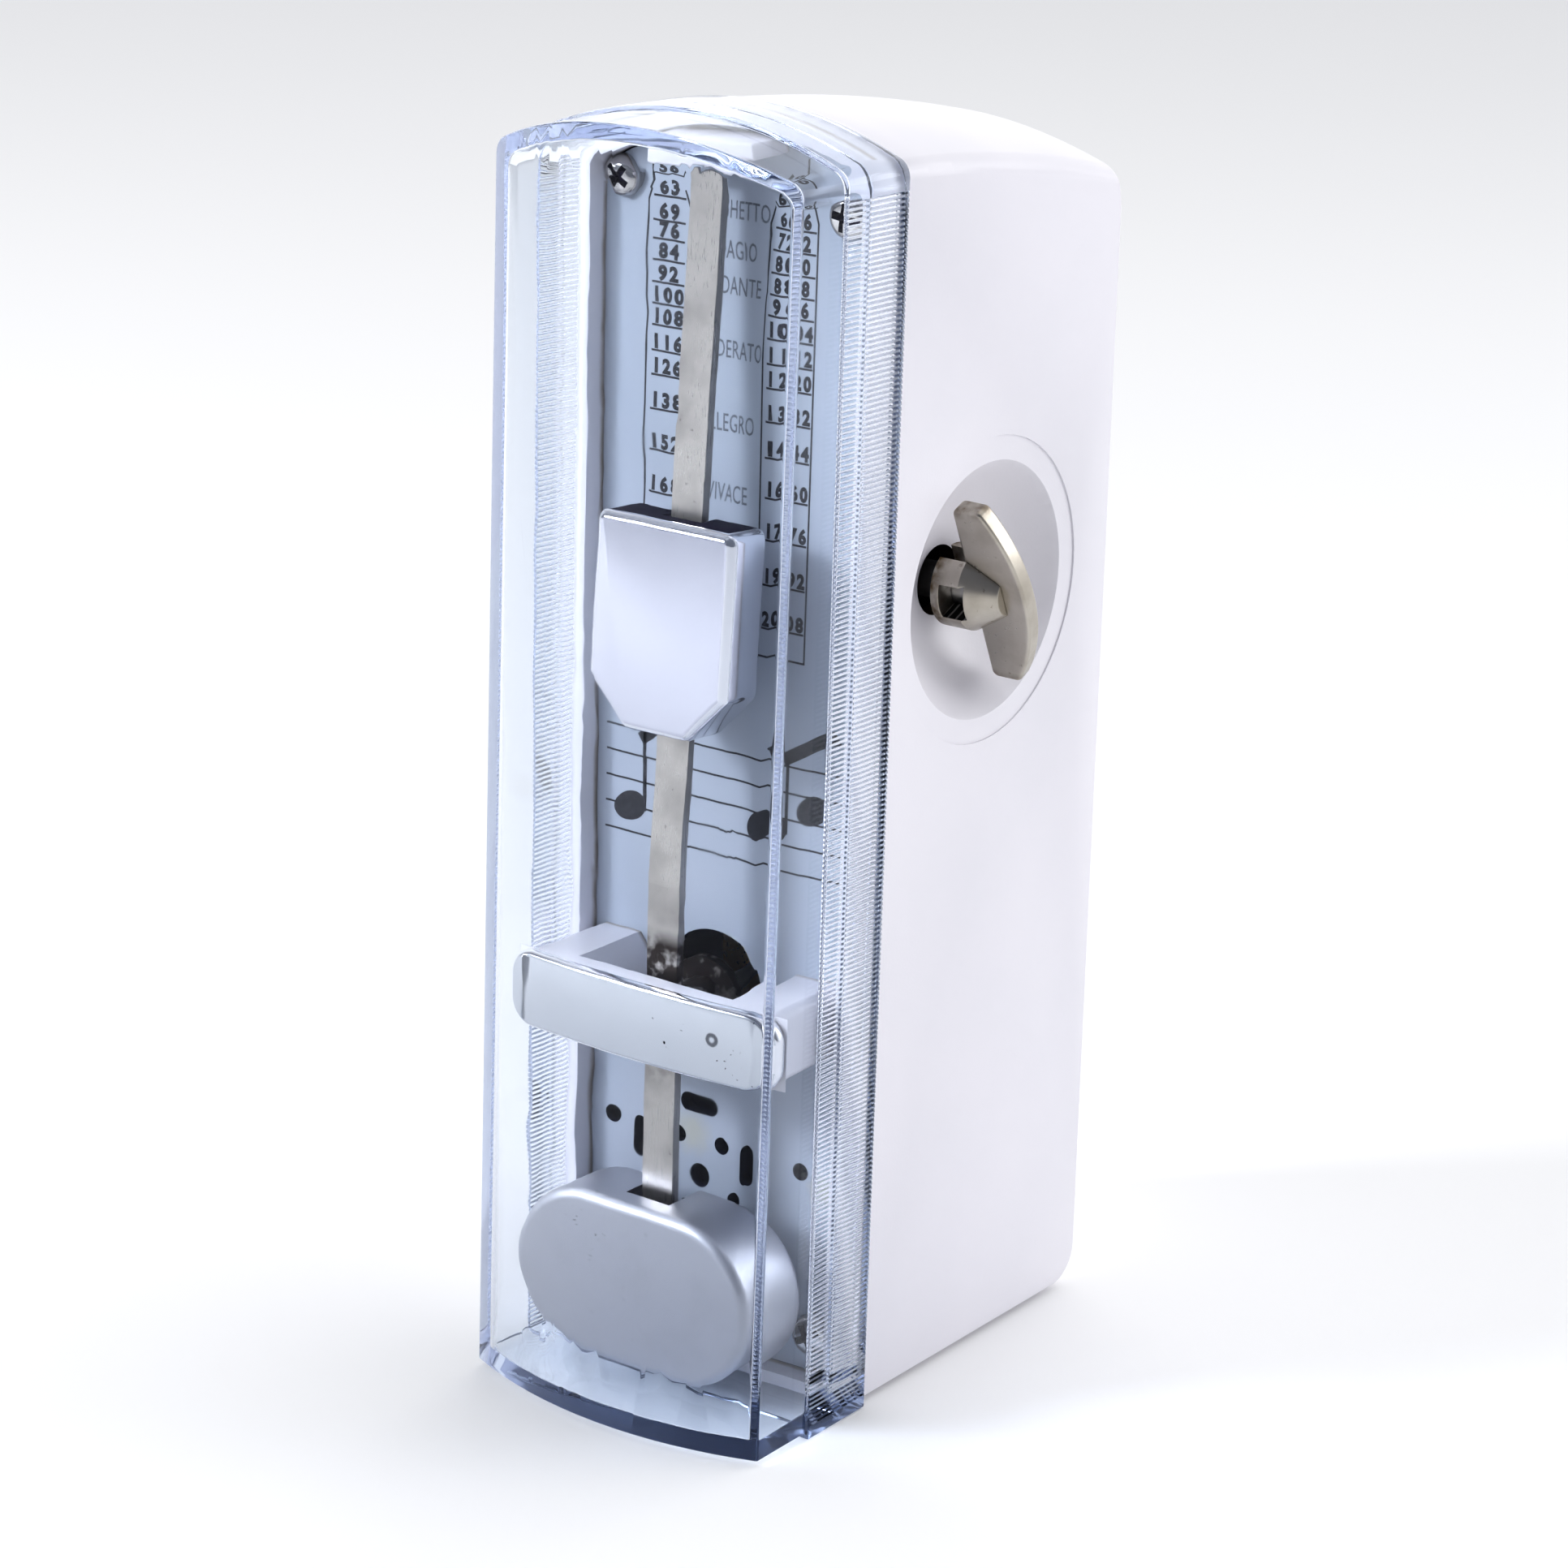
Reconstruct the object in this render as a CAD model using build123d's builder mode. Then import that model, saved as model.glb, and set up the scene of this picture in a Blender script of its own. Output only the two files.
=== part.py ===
from build123d import *
import math
import os

# A pocket wind-up metronome: a white case holds the clockwork, a dial plate closes its front,
# and a clear cover with a wide plain collar plugs over the front of the case.
# The pendulum swings in front of the dial, and the key stands in a round dish on the right side.
# All sizes are in millimetres, +Z is up, the dial faces -Y and the key is on +X.

os.makedirs("parts", exist_ok=True)

# ---- driving dimensions ----
CROWN_Z = 105.5  # top of the case skin at its highest point
CROWN_Y = -13.0  # where along the depth that highest point is
CROWN_RX = 35.2  # radius of the top seen from the front
CROWN_RY = 153.5  # radius of the top seen from the side
CORNER_R = 1.6  # rounding where the top meets the sides

CASE_HALF = 14.35
CASE_BOTTOM = 0.6
CASE_REAR = 23.2
REAR_LEAN = 0.013  # how far the rear wall leans forward for each mm of height
REAR_TOP_Z = 97.0  # where the rear wall ends and the back slope of the roof starts
ROOF_TOP = (3.0, 125.0)  # depth and height of a far point on that slope
REAR_LOW_R = 3.0
REAR_HIGH_R = 6.0
SEAM_Y = -9.0  # where the collar of the cover meets the case
CAVITY_HALF = 12.4
CAVITY_FLOOR = 2.75
REAR_WALL = 2.0
RIM_HALF = 13.6
RIM_FRONT = -12.9
RIM_BOTTOM = 1.55
SCREW_POST_R = 2.1

FRONT_FOOT_LONG = 22.0  # a rubber bar near the front and two round feet behind it
FRONT_FOOT_DEEP = 5.0
FRONT_FOOT_Y = -2.0
REAR_FOOT_X = 10.0
REAR_FOOT_Y = 14.0
REAR_FOOT_R = 2.2

COVER_HALF = 14.6
COVER_CORNER_Y = -23.2
COVER_BULGE = 2.9
COVER_LEAN = 0.011
COVER_WALL = 1.4
COVER_BOTTOM = 0.5
COLLAR_HALF = 15.0
COLLAR_FRONT = -16.9
COVER_TRAVEL_STOP = -13.1  # inner shoulder of the cover, just ahead of the case rim

DISH_Y = 4.9
DISH_Z = 66.7
DISH_R = 10.7
DISH_DEPTH = 5.2
SHAFT_HOLE_R = 2.9

DIAL_FRONT = -11.0
DIAL_REAR = -9.8
DIAL_HALF = 12.3
DIAL_OPENING_R = 5.2
SCREW_X = 10.4
SCREW_LEFT_TOP_Z = 99.7  # the two upper screws don't stand at quite the same height
SCREW_RIGHT_TOP_Z = 98.4
SCREW_LOW_Z = 6.2
SCREW_HEAD_R = 1.75
SCREW_SHANK_R = 0.85

CATCH_LOW = 101.6
CATCH_TOP = 102.8

PIVOT_Z = 33.7
ARBOR_R = 0.8
FIT = 0.04  # running clearance on the radius
ROD_WIDE = 3.0
ROD_THICK = 0.8
ROD_Y = -17.4  # middle of the rod's thickness below its bend
ROD_BEND_Z = 44.5
ROD_TOP_Y = -13.9
ROD_TOP_Z = 101.0
ROD_FOOT_Z = 6.5
PENDULUM_ARBOR_REAR = 18.2
BEARING_R = 1.6

BRIDGE_LOW = 30.9
BRIDGE_TOP = 37.0
BRIDGE_HALF = 11.8
BRIDGE_BAR_REAR = -18.6
BRIDGE_FRONT = -20.3
TRIM_THICK = 1.2
TRIM_HALF = 12.85
TRIM_END_Y = BRIDGE_FRONT + 0.85

LOW_WEIGHT_WIDE = 23.4
LOW_WEIGHT_HIGH = 14.4
LOW_WEIGHT_Z = 10.8
LOW_WEIGHT_FRONT = -21.2
LOW_WEIGHT_REAR = -14.4

SLIDER_Z = 66.0
SLIDER_WIDE = 13.3
SLIDER_THICK = 4.4
SLIDER_BEHIND = 1.3  # how far the sliding weight reaches behind the middle of the rod
SLIDER_ABOVE = 8.2
SLIDER_BELOW = 8.8
SLIDER_FOOT_HALF = 3.1
SPRING_THICK = 0.3

LEFT_PLATE_X = -10.0
RIGHT_PLATE_X = 5.0
PLATE_THICK = 1.2
PLATE_REAR = 18.0
PLATE_LOW = 24.0
PLATE_HIGH = 86.0

TRAIN_Y = 4.9
MODULE = 0.5
GREAT_TEETH = 50
MIDDLE_PINION_TEETH = 18
MIDDLE_TEETH = 50
ESCAPE_PINION_TEETH = 14
CROWN_TEETH = 15
MIDDLE_Z = DISH_Z - MODULE * (GREAT_TEETH + MIDDLE_PINION_TEETH) / 2
ESCAPE_Z = MIDDLE_Z - MODULE * (MIDDLE_TEETH + ESCAPE_PINION_TEETH) / 2

WIND_R = 1.5
KEY_TURN = 25.0  # how far the wing of the key is turned from upright

# profile of the key's wing: X of its inner edge, of its ends and of its outermost point
WING_INNER_X = 13.3
WING_END_X = 15.9
WING_TIP_X = 18.4
WING_HALF = 8.4
WING_THICK = 1.6
HUB_R = 3.4
HUB_REAR_X = 11.0
HUB_SHOULDER_X = 13.6
HUB_TIP_X = 16.4
HUB_TIP_R = 1.7

SCREW_PLACES = [
    (-SCREW_X, SCREW_LOW_Z),
    (SCREW_X, SCREW_LOW_Z),
    (-SCREW_X, SCREW_LEFT_TOP_Z),
    (SCREW_X, SCREW_RIGHT_TOP_Z),
]
PILLAR_PLACES = [(-6.3, 28.0), (15.0, 27.5), (-6.0, 82.0), (15.0, 82.0)]

GREAT_X = -5.0
LID_X = 2.4
MIDDLE_X = -7.9
CROWN_X = -5.4
CROWN_TIP_X = -1.7
CROWN_R = 8.0
CROWN_WALL = 0.8
CROWN_TOOTH_DEEP = 1.7
ESCAPE_END_X = -11.4
BUSH_END_X = -11.7
BUSH_R = 1.8
BARREL_R = 10.5
BARREL_WALL = 0.6
RATCHET_X = 3.5
WIND_END_X = 13.2

# sketch planes: SIDE draws (Y, Z) and grows along +X, FRONT draws (X, Z) and grows along -Y
SIDE = Plane(origin=(0, 0, 0), x_dir=(0, 1, 0), z_dir=(1, 0, 0))
FRONT = Plane(origin=(0, 0, 0), x_dir=(1, 0, 0), z_dir=(0, -1, 0))


def save(builder, name):
    """label a finished piece and write its STEP file"""
    builder.part.label = name
    export_step(builder.part, f"parts/{name}.step")


def side_plane(x):
    """a sketch plane at a given X, drawing Y to the right and Z up"""
    return SIDE.offset(x)


def front_plane(y):
    """a sketch plane at a given Y, drawing X to the right and Z up, growing towards the viewer"""
    return FRONT.offset(-y)


def domed_block(half, lift, floor):
    """everything between two side walls, a floor and the domed top, lifted off the case skin"""
    radius_x = CROWN_RX + lift
    drop = radius_x - math.sqrt(radius_x**2 - half**2)
    top = CROWN_Z + lift
    shoulder = 80.0
    axis_point = (0, CROWN_Y, CROWN_Z - CROWN_RY)
    with BuildPart() as block:
        with BuildSketch(front_plane(CROWN_Y)) as arch:
            with BuildLine():
                Line((-half, top - drop), (-half, shoulder))
                Line((-half, shoulder), (half, shoulder))
                Line((half, shoulder), (half, top - drop))
                ThreePointArc((half, top - drop), (0, top), (-half, top - drop))
            make_face()
            fillet(arch.vertices().group_by(Axis.Y)[-1], CORNER_R)
        revolve(arch.sketch, axis=Axis(axis_point, (1, 0, 0)), revolution_arc=20)
        revolve(arch.sketch, axis=Axis(axis_point, (-1, 0, 0)), revolution_arc=20)
        with BuildSketch(Plane.XY.offset(floor)):
            Rectangle(2 * half, 80)
        extrude(amount=86 - floor)
    return block.part


def bulged_prism(half, corner_y, floor):
    """the plan of the clear cover: straight sides and a front that bulges between its corners"""
    with BuildPart() as prism:
        with BuildSketch(Plane.XY.offset(floor)):
            with BuildLine():
                ThreePointArc((-half, corner_y), (0, corner_y - COVER_BULGE), (half, corner_y))
                Polyline((half, corner_y), (half, 30), (-half, 30), (-half, corner_y))
            make_face()
        extrude(amount=115, dir=(0, COVER_LEAN, 1))
    return prism.part


def slab_between(front, rear):
    """a block of air as tall and wide as the object, between two depths"""
    with BuildPart() as slab:
        with BuildSketch(Plane.XY.offset(-5)):
            with Locations((0, (front + rear) / 2)):
                Rectangle(60, rear - front)
        extrude(amount=125)
    return slab.part


def rear_profile(inset):
    """side view of the case: leaning rear wall, rounded above and below, drawn inset from the skin"""
    low_y = CASE_REAR - inset
    high_y = low_y - REAR_LEAN * REAR_TOP_Z
    roof_y, roof_z = ROOF_TOP
    low_z = CASE_BOTTOM + inset
    with BuildPart() as profile:
        with BuildSketch(side_plane(-30)) as outline:
            with BuildLine():
                Polyline(
                    (-40, low_z),
                    (low_y, low_z),
                    (high_y, REAR_TOP_Z - inset),
                    (roof_y - inset, roof_z),
                    (-40, roof_z),
                    close=True,
                )
            make_face()
            fillet(outline.vertices().sort_by(Axis.X)[-1], REAR_LOW_R)
            fillet(outline.vertices().filter_by_position(Axis.Y, 90, 100), REAR_HIGH_R)
        extrude(amount=60)
    return profile.part


def make_case():
    skin = domed_block(CASE_HALF, 0, CASE_BOTTOM)
    rim = domed_block(RIM_HALF, -1.0, RIM_BOTTOM)
    hollow = domed_block(CAVITY_HALF, -2.2, CAVITY_FLOOR)
    back = rear_profile(0)
    inner_back = rear_profile(REAR_WALL)
    body_span = slab_between(SEAM_Y, 40)
    rim_span = slab_between(RIM_FRONT, SEAM_Y)
    open_front = slab_between(-30, 40)
    ball_r = (DISH_R**2 + DISH_DEPTH**2) / (2 * DISH_DEPTH)
    ball_x = CASE_HALF - DISH_DEPTH + ball_r
    with BuildPart() as cavity:
        add(hollow)
        add(inner_back, mode=Mode.INTERSECT)
        add(open_front, mode=Mode.INTERSECT)
    with BuildPart() as dish_wall:
        with Locations((ball_x, DISH_Y, DISH_Z)):
            Sphere(ball_r + 1.6)
        with Locations((CAVITY_HALF + 0.5 - 20, DISH_Y, DISH_Z)):
            Box(40, 40, 40, mode=Mode.INTERSECT)
    with BuildPart() as body:
        add(skin)
        add(back, mode=Mode.INTERSECT)
        add(body_span, mode=Mode.INTERSECT)
    with BuildPart() as front_rim:
        add(rim)
        add(rim_span, mode=Mode.INTERSECT)
    with BuildPart() as case_shell:
        add(body.part)
        add(front_rim.part)
        add(cavity.part, mode=Mode.SUBTRACT)
        add(dish_wall.part)
        # the finger dish, its faint outer ring and the hole for the winding shaft
        with Locations((ball_x, DISH_Y, DISH_Z)):
            Sphere(ball_r, mode=Mode.SUBTRACT)
        with BuildSketch(side_plane(CASE_HALF - 0.15)):
            with Locations((DISH_Y, DISH_Z)):
                Circle(DISH_R + 1.9)
        extrude(amount=1, mode=Mode.SUBTRACT)
        with BuildSketch(side_plane(5)):
            with Locations((DISH_Y, DISH_Z)):
                Circle(SHAFT_HOLE_R)
        extrude(amount=8, mode=Mode.SUBTRACT)
        # posts behind the dial plate take its screws
        with BuildSketch(front_plane(-3)):
            with Locations(*SCREW_PLACES):
                Circle(SCREW_POST_R)
        extrude(amount=-3 - DIAL_REAR)
        with BuildSketch(front_plane(-4)):
            with Locations(*SCREW_PLACES):
                Circle(SCREW_SHANK_R)
        extrude(amount=20, mode=Mode.SUBTRACT)
    save(case_shell, "case_shell")


def make_feet():
    with BuildPart() as rubber_feet:
        with BuildSketch():
            with Locations((0, FRONT_FOOT_Y)):
                SlotOverall(FRONT_FOOT_LONG, FRONT_FOOT_DEEP)
            with Locations((-REAR_FOOT_X, REAR_FOOT_Y), (REAR_FOOT_X, REAR_FOOT_Y)):
                Circle(REAR_FOOT_R)
        extrude(amount=CASE_BOTTOM)
    save(rubber_feet, "rubber_feet")


def make_cover():
    outer = domed_block(COVER_HALF, 0, COVER_BOTTOM)
    collar = domed_block(COLLAR_HALF, COLLAR_HALF - COVER_HALF, 0.1)
    inner = domed_block(COVER_HALF - COVER_WALL, -COVER_WALL, COVER_BOTTOM + COVER_WALL)
    socket = domed_block(RIM_HALF + 0.05, -0.95, RIM_BOTTOM - 0.05)
    bulge = bulged_prism(COVER_HALF, COVER_CORNER_Y, -2)
    inner_bulge = bulged_prism(COVER_HALF, COVER_CORNER_Y + COVER_WALL, -2)
    body_span = slab_between(-30, COLLAR_FRONT + 1)
    collar_span = slab_between(COLLAR_FRONT, SEAM_Y - 0.05)
    hollow_span = slab_between(-30, COVER_TRAVEL_STOP + 1)
    socket_span = slab_between(COVER_TRAVEL_STOP, 0)
    with BuildPart() as hollow:
        add(inner)
        add(inner_bulge, mode=Mode.INTERSECT)
        add(hollow_span, mode=Mode.INTERSECT)
    with BuildPart() as rear_socket:
        add(socket)
        add(socket_span, mode=Mode.INTERSECT)
    with BuildPart() as plain_collar:
        add(collar)
        add(collar_span, mode=Mode.INTERSECT)
    with BuildPart() as clear_cover:
        add(outer)
        add(bulge, mode=Mode.INTERSECT)
        add(body_span, mode=Mode.INTERSECT)
        add(plain_collar.part)
        add(hollow.part, mode=Mode.SUBTRACT)
        add(rear_socket.part, mode=Mode.SUBTRACT)
    save(clear_cover, "clear_cover")


def make_dial():
    sheet = domed_block(DIAL_HALF, -2.3, CAVITY_FLOOR + 0.1)
    span = slab_between(DIAL_FRONT, DIAL_REAR)
    with BuildPart() as dial_plate:
        add(sheet)
        add(span, mode=Mode.INTERSECT)
        with BuildSketch(front_plane(0)):
            with Locations((0, PIVOT_Z)):
                Circle(DIAL_OPENING_R)
            with Locations(*SCREW_PLACES):
                Circle(SCREW_SHANK_R + 0.1)
            # sound holes; the pattern stands about 1.2 to the left of the pendulum's axis
            with Locations((-1.3, 23.4)):
                SlotOverall(3.8, 1.6)
            with Locations((-1.2, 17.1)):
                Circle(1.05)
            with Locations((-10.1, 20.2), (8.6, 20.1)):
                Circle(0.75)
            with Locations((-3.3, 20.3), (1.1, 20.3)):
                Circle(0.75)
            with Locations((-4.9, 15.8), (2.6, 15.8)):
                Circle(0.75)
            with Locations((-7.2, 19.0), (4.0, 19.0)):
                SlotOverall(3.6, 1.5, rotation=90)
        extrude(amount=20, mode=Mode.SUBTRACT)
    save(dial_plate, "dial_plate")


def make_rod_catch():
    """a moulded tab over the parked end of the rod"""
    with BuildPart() as rod_catch:
        with BuildSketch(front_plane(DIAL_FRONT)):
            with Locations((0, (CATCH_LOW + CATCH_TOP) / 2)):
                Rectangle(9.6, CATCH_TOP - CATCH_LOW)
        extrude(amount=4.5)
        fillet(rod_catch.faces().sort_by(Axis.Y)[0].edges(), 0.3)
    save(rod_catch, "rod_catch")


def make_dial_screws():
    with BuildPart() as dial_screws:
        with BuildSketch(front_plane(DIAL_FRONT)):
            with Locations(*SCREW_PLACES):
                Circle(SCREW_HEAD_R)
        extrude(amount=1.1)
        fillet(dial_screws.faces().group_by(Axis.Y)[0].edges(), 0.7)
        with BuildSketch(front_plane(-5)):
            with Locations(*SCREW_PLACES):
                Circle(SCREW_SHANK_R - 0.02)
        extrude(amount=-5 - DIAL_FRONT)
        with BuildSketch(front_plane(DIAL_FRONT - 0.4)):
            with Locations(*SCREW_PLACES):
                Rectangle(1.9, 0.5)
                Rectangle(0.5, 1.9)
        extrude(amount=2, mode=Mode.SUBTRACT)
    save(dial_screws, "dial_screws")


def make_bridge():
    """the moulded yoke that carries the front end of the pendulum's arbor"""
    with BuildPart() as bearing_bridge:
        with BuildSketch(Plane.XY.offset(BRIDGE_LOW)):
            with BuildLine():
                Polyline(
                    (-BRIDGE_HALF, DIAL_FRONT),
                    (-BRIDGE_HALF, TRIM_END_Y),
                    (BRIDGE_HALF, TRIM_END_Y),
                    (BRIDGE_HALF, DIAL_FRONT),
                    close=True,
                )
            make_face()
        extrude(amount=BRIDGE_TOP - BRIDGE_LOW)
        with BuildSketch(Plane.XY.offset(BRIDGE_LOW)):
            with BuildLine():
                ThreePointArc((-TRIM_HALF, TRIM_END_Y), (0, BRIDGE_FRONT), (TRIM_HALF, TRIM_END_Y))
                Line((-TRIM_HALF, TRIM_END_Y), (TRIM_HALF, TRIM_END_Y))
            make_face()
        extrude(amount=BRIDGE_TOP - BRIDGE_LOW)
        fillet(bearing_bridge.edges().filter_by(Axis.Y), 0.8)
        # the gap that the rod swings in, wider at its top
        with BuildSketch(front_plane(DIAL_FRONT + 1)):
            Polygon((-8.4, 38), (-5.0, 33.6), (-5.0, 30), (5.0, 30), (5.0, 33.6), (8.4, 38), align=None)
        extrude(amount=DIAL_FRONT + 1 - BRIDGE_BAR_REAR, mode=Mode.SUBTRACT)
        with BuildSketch(front_plane(BRIDGE_BAR_REAR + 1)):
            with Locations((0, PIVOT_Z)):
                Circle(BEARING_R)
        extrude(amount=2.3, mode=Mode.SUBTRACT)
    save(bearing_bridge, "bearing_bridge")


def make_trim():
    """bright cover strip on the front of the bridge, bent to the same gentle curve"""
    with BuildPart() as bridge_trim:
        with BuildSketch(Plane.XY.offset(BRIDGE_LOW - 0.2)):
            with BuildLine():
                ThreePointArc((-TRIM_HALF, TRIM_END_Y), (0, BRIDGE_FRONT), (TRIM_HALF, TRIM_END_Y))
                Line((TRIM_HALF, TRIM_END_Y), (TRIM_HALF, TRIM_END_Y - TRIM_THICK))
                ThreePointArc(
                    (TRIM_HALF, TRIM_END_Y - TRIM_THICK),
                    (0, BRIDGE_FRONT - TRIM_THICK),
                    (-TRIM_HALF, TRIM_END_Y - TRIM_THICK),
                )
                Line((-TRIM_HALF, TRIM_END_Y - TRIM_THICK), (-TRIM_HALF, TRIM_END_Y))
            make_face()
        extrude(amount=BRIDGE_TOP - BRIDGE_LOW + 0.4)
        fillet(bridge_trim.edges().filter_by(Axis.Y), 2.3)
    save(bridge_trim, "bridge_trim")


def make_front_bearing():
    with BuildPart() as front_bearing:
        with BuildSketch(front_plane(BRIDGE_BAR_REAR)):
            with Locations((0, PIVOT_Z)):
                Circle(BEARING_R)
        extrude(amount=1.3)
        with BuildSketch(front_plane(BRIDGE_BAR_REAR)):
            with Locations((0, PIVOT_Z)):
                Circle(ARBOR_R + FIT)
        extrude(amount=1.1, mode=Mode.SUBTRACT)
    save(front_bearing, "front_bearing")


def make_rear_cock():
    """the bar between the side plates that holds the rear end of the pendulum's arbor"""
    left = LEFT_PLATE_X + PLATE_THICK
    with BuildPart() as rear_cock:
        with BuildSketch(front_plane(17.4)):
            with Locations(((left + RIGHT_PLATE_X) / 2, PIVOT_Z)):
                Rectangle(RIGHT_PLATE_X - left, 4.4)
            with Locations((0, PIVOT_Z)):
                Circle(3.2)
            with Locations((0, PIVOT_Z)):
                Circle(BEARING_R, mode=Mode.SUBTRACT)
        extrude(amount=1.2)
    save(rear_cock, "rear_cock")
    with BuildPart() as rear_bearing:
        with BuildSketch(front_plane(17.7)):
            with Locations((0, PIVOT_Z)):
                Circle(BEARING_R)
                Circle(ARBOR_R + FIT, mode=Mode.SUBTRACT)
        extrude(amount=1.8)
    save(rear_bearing, "rear_bearing")


def make_pendulum():
    with BuildPart() as pendulum_arbor:
        with BuildSketch(front_plane(PENDULUM_ARBOR_REAR)):
            with Locations((0, PIVOT_Z)):
                Circle(ARBOR_R)
        extrude(amount=PENDULUM_ARBOR_REAR - BRIDGE_BAR_REAR + 1.0)
    save(pendulum_arbor, "pendulum_arbor")

    with BuildPart() as pendulum_hub:
        with BuildSketch(front_plane(-11.6)):
            with Locations((0, PIVOT_Z)):
                Circle(3.3)
        extrude(amount=0.8)
        with BuildSketch(front_plane(-12.4)):
            with Locations((0, PIVOT_Z)):
                Circle(1.7)
        extrude(amount=ROD_THICK / 2 - 12.4 - ROD_Y - ROD_THICK)
        with BuildSketch(front_plane(0)):
            with Locations((0, PIVOT_Z)):
                Circle(ARBOR_R)
        extrude(amount=20, mode=Mode.SUBTRACT)
    save(pendulum_hub, "pendulum_hub")

    lean = math.atan2(ROD_TOP_Y - ROD_Y, ROD_TOP_Z - ROD_BEND_Z)
    half = ROD_THICK / 2
    across = half / math.cos(lean)
    with BuildPart() as pendulum_rod:
        with BuildSketch(side_plane(-ROD_WIDE / 2)):
            Polygon(
                (ROD_Y - half, ROD_FOOT_Z),
                (ROD_Y + half, ROD_FOOT_Z),
                (ROD_Y + half, ROD_BEND_Z),
                (ROD_TOP_Y + across, ROD_TOP_Z),
                (ROD_TOP_Y - across, ROD_TOP_Z),
                (ROD_Y - half, ROD_BEND_Z),
                align=None,
            )
        extrude(amount=ROD_WIDE)
        with BuildSketch(front_plane(0)):
            with Locations((0, PIVOT_Z)):
                Circle(ARBOR_R)
        extrude(amount=25, mode=Mode.SUBTRACT)
    save(pendulum_rod, "pendulum_rod")

    with BuildPart() as low_weight:
        with BuildSketch(front_plane(LOW_WEIGHT_REAR)):
            with Locations((0, LOW_WEIGHT_Z)):
                SlotOverall(LOW_WEIGHT_WIDE, LOW_WEIGHT_HIGH)
        extrude(amount=LOW_WEIGHT_REAR - LOW_WEIGHT_FRONT)
        fillet(low_weight.faces().sort_by(Axis.Y)[0].edges(), 0.9)
        fillet(low_weight.faces().sort_by(Axis.Y)[-1].edges(), 0.9)
        # the rod lies in a groove that is open behind it
        groove_front = ROD_Y - ROD_THICK / 2 - 0.02
        with BuildSketch(Plane.XY.offset(ROD_FOOT_Z - 0.2)):
            with Locations((0, (groove_front + LOW_WEIGHT_REAR + 1) / 2)):
                Rectangle(ROD_WIDE + 0.6, LOW_WEIGHT_REAR + 1 - groove_front)
        extrude(amount=20, mode=Mode.SUBTRACT)
    save(low_weight, "low_weight")


def make_sliding_weight():
    """the tempo weight that slides on the leaning upper part of the rod"""
    lean = math.atan2(ROD_TOP_Y - ROD_Y, ROD_TOP_Z - ROD_BEND_Z)
    half = SLIDER_WIDE / 2
    centre_y = ROD_Y + (SLIDER_Z - ROD_BEND_Z) * math.tan(lean)
    along_rod = Plane(
        origin=(0, centre_y, SLIDER_Z),
        x_dir=(1, 0, 0),
        z_dir=(0, -math.cos(lean), math.sin(lean)),
    )
    with BuildPart() as sliding_weight:
        with BuildSketch(along_rod.offset(-SLIDER_BEHIND)) as outline:
            Polygon(
                (-half, SLIDER_ABOVE),
                (half, SLIDER_ABOVE),
                (half, -5.0),
                (SLIDER_FOOT_HALF, -SLIDER_BELOW),
                (-SLIDER_FOOT_HALF, -SLIDER_BELOW),
                (-half, -5.0),
                align=None,
            )
            fillet(outline.vertices(), 0.9)
        extrude(amount=SLIDER_THICK)
        chamfer(sliding_weight.faces().sort_by(Axis.Y)[0].edges(), 0.5)
        with BuildSketch(along_rod.offset(-SLIDER_BEHIND)):
            Rectangle(ROD_WIDE + 0.1, 30)
        extrude(amount=SLIDER_BEHIND + ROD_THICK / 2 + 0.05, mode=Mode.SUBTRACT)
    save(sliding_weight, "sliding_weight")

    with BuildPart() as weight_spring:
        # a flat spring across the back of the weight keeps the rod in its groove
        with BuildSketch(along_rod.offset(-SLIDER_BEHIND - SPRING_THICK)):
            Rectangle(9, 5)
        extrude(amount=SPRING_THICK)
    save(weight_spring, "weight_spring")


def gear_outline(teeth, first_angle):
    """one toothed wheel: straight-sided teeth with narrowed tips, clear of their mates"""
    pitch_r = MODULE * teeth / 2
    root_r = pitch_r - 0.62
    tip_r = pitch_r + 0.36
    step = 360 / teeth
    # radius and share of one pitch at each corner along one side of a tooth
    flank = [(root_r, 0.29), (pitch_r, 0.215), (tip_r, 0.1)]
    corners = [(radius, -share) for radius, share in flank] + flank[::-1]
    points = []
    for tooth in range(teeth):
        middle = first_angle + tooth * step
        for radius, share in corners:
            angle = math.radians(middle + share * step)
            points.append((radius * math.cos(angle), radius * math.sin(angle)))
    return points


def wheel_blank(x, thick, height, teeth, first_angle, bore_r):
    """a gear on an axis along X at the train's depth and the given height"""
    with BuildPart() as blank:
        with BuildSketch(side_plane(x)):
            with Locations((TRAIN_Y, height)):
                Polygon(*gear_outline(teeth, first_angle), align=None)
                Circle(bore_r, mode=Mode.SUBTRACT)
        extrude(amount=thick)
    return blank.part


def disc(x, thick, height, radius, bore_r):
    """a plain collar, drum end or washer on the train's axis line"""
    with BuildPart() as collar:
        with BuildSketch(side_plane(x)):
            with Locations((TRAIN_Y, height)):
                Circle(radius)
                Circle(bore_r, mode=Mode.SUBTRACT)
        extrude(amount=thick)
    return collar.part


def rod_along_x(x, length, height, radius):
    with BuildPart() as rod:
        with BuildSketch(side_plane(x)):
            with Locations((TRAIN_Y, height)):
                Circle(radius)
        extrude(amount=length)
    return rod.part


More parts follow.
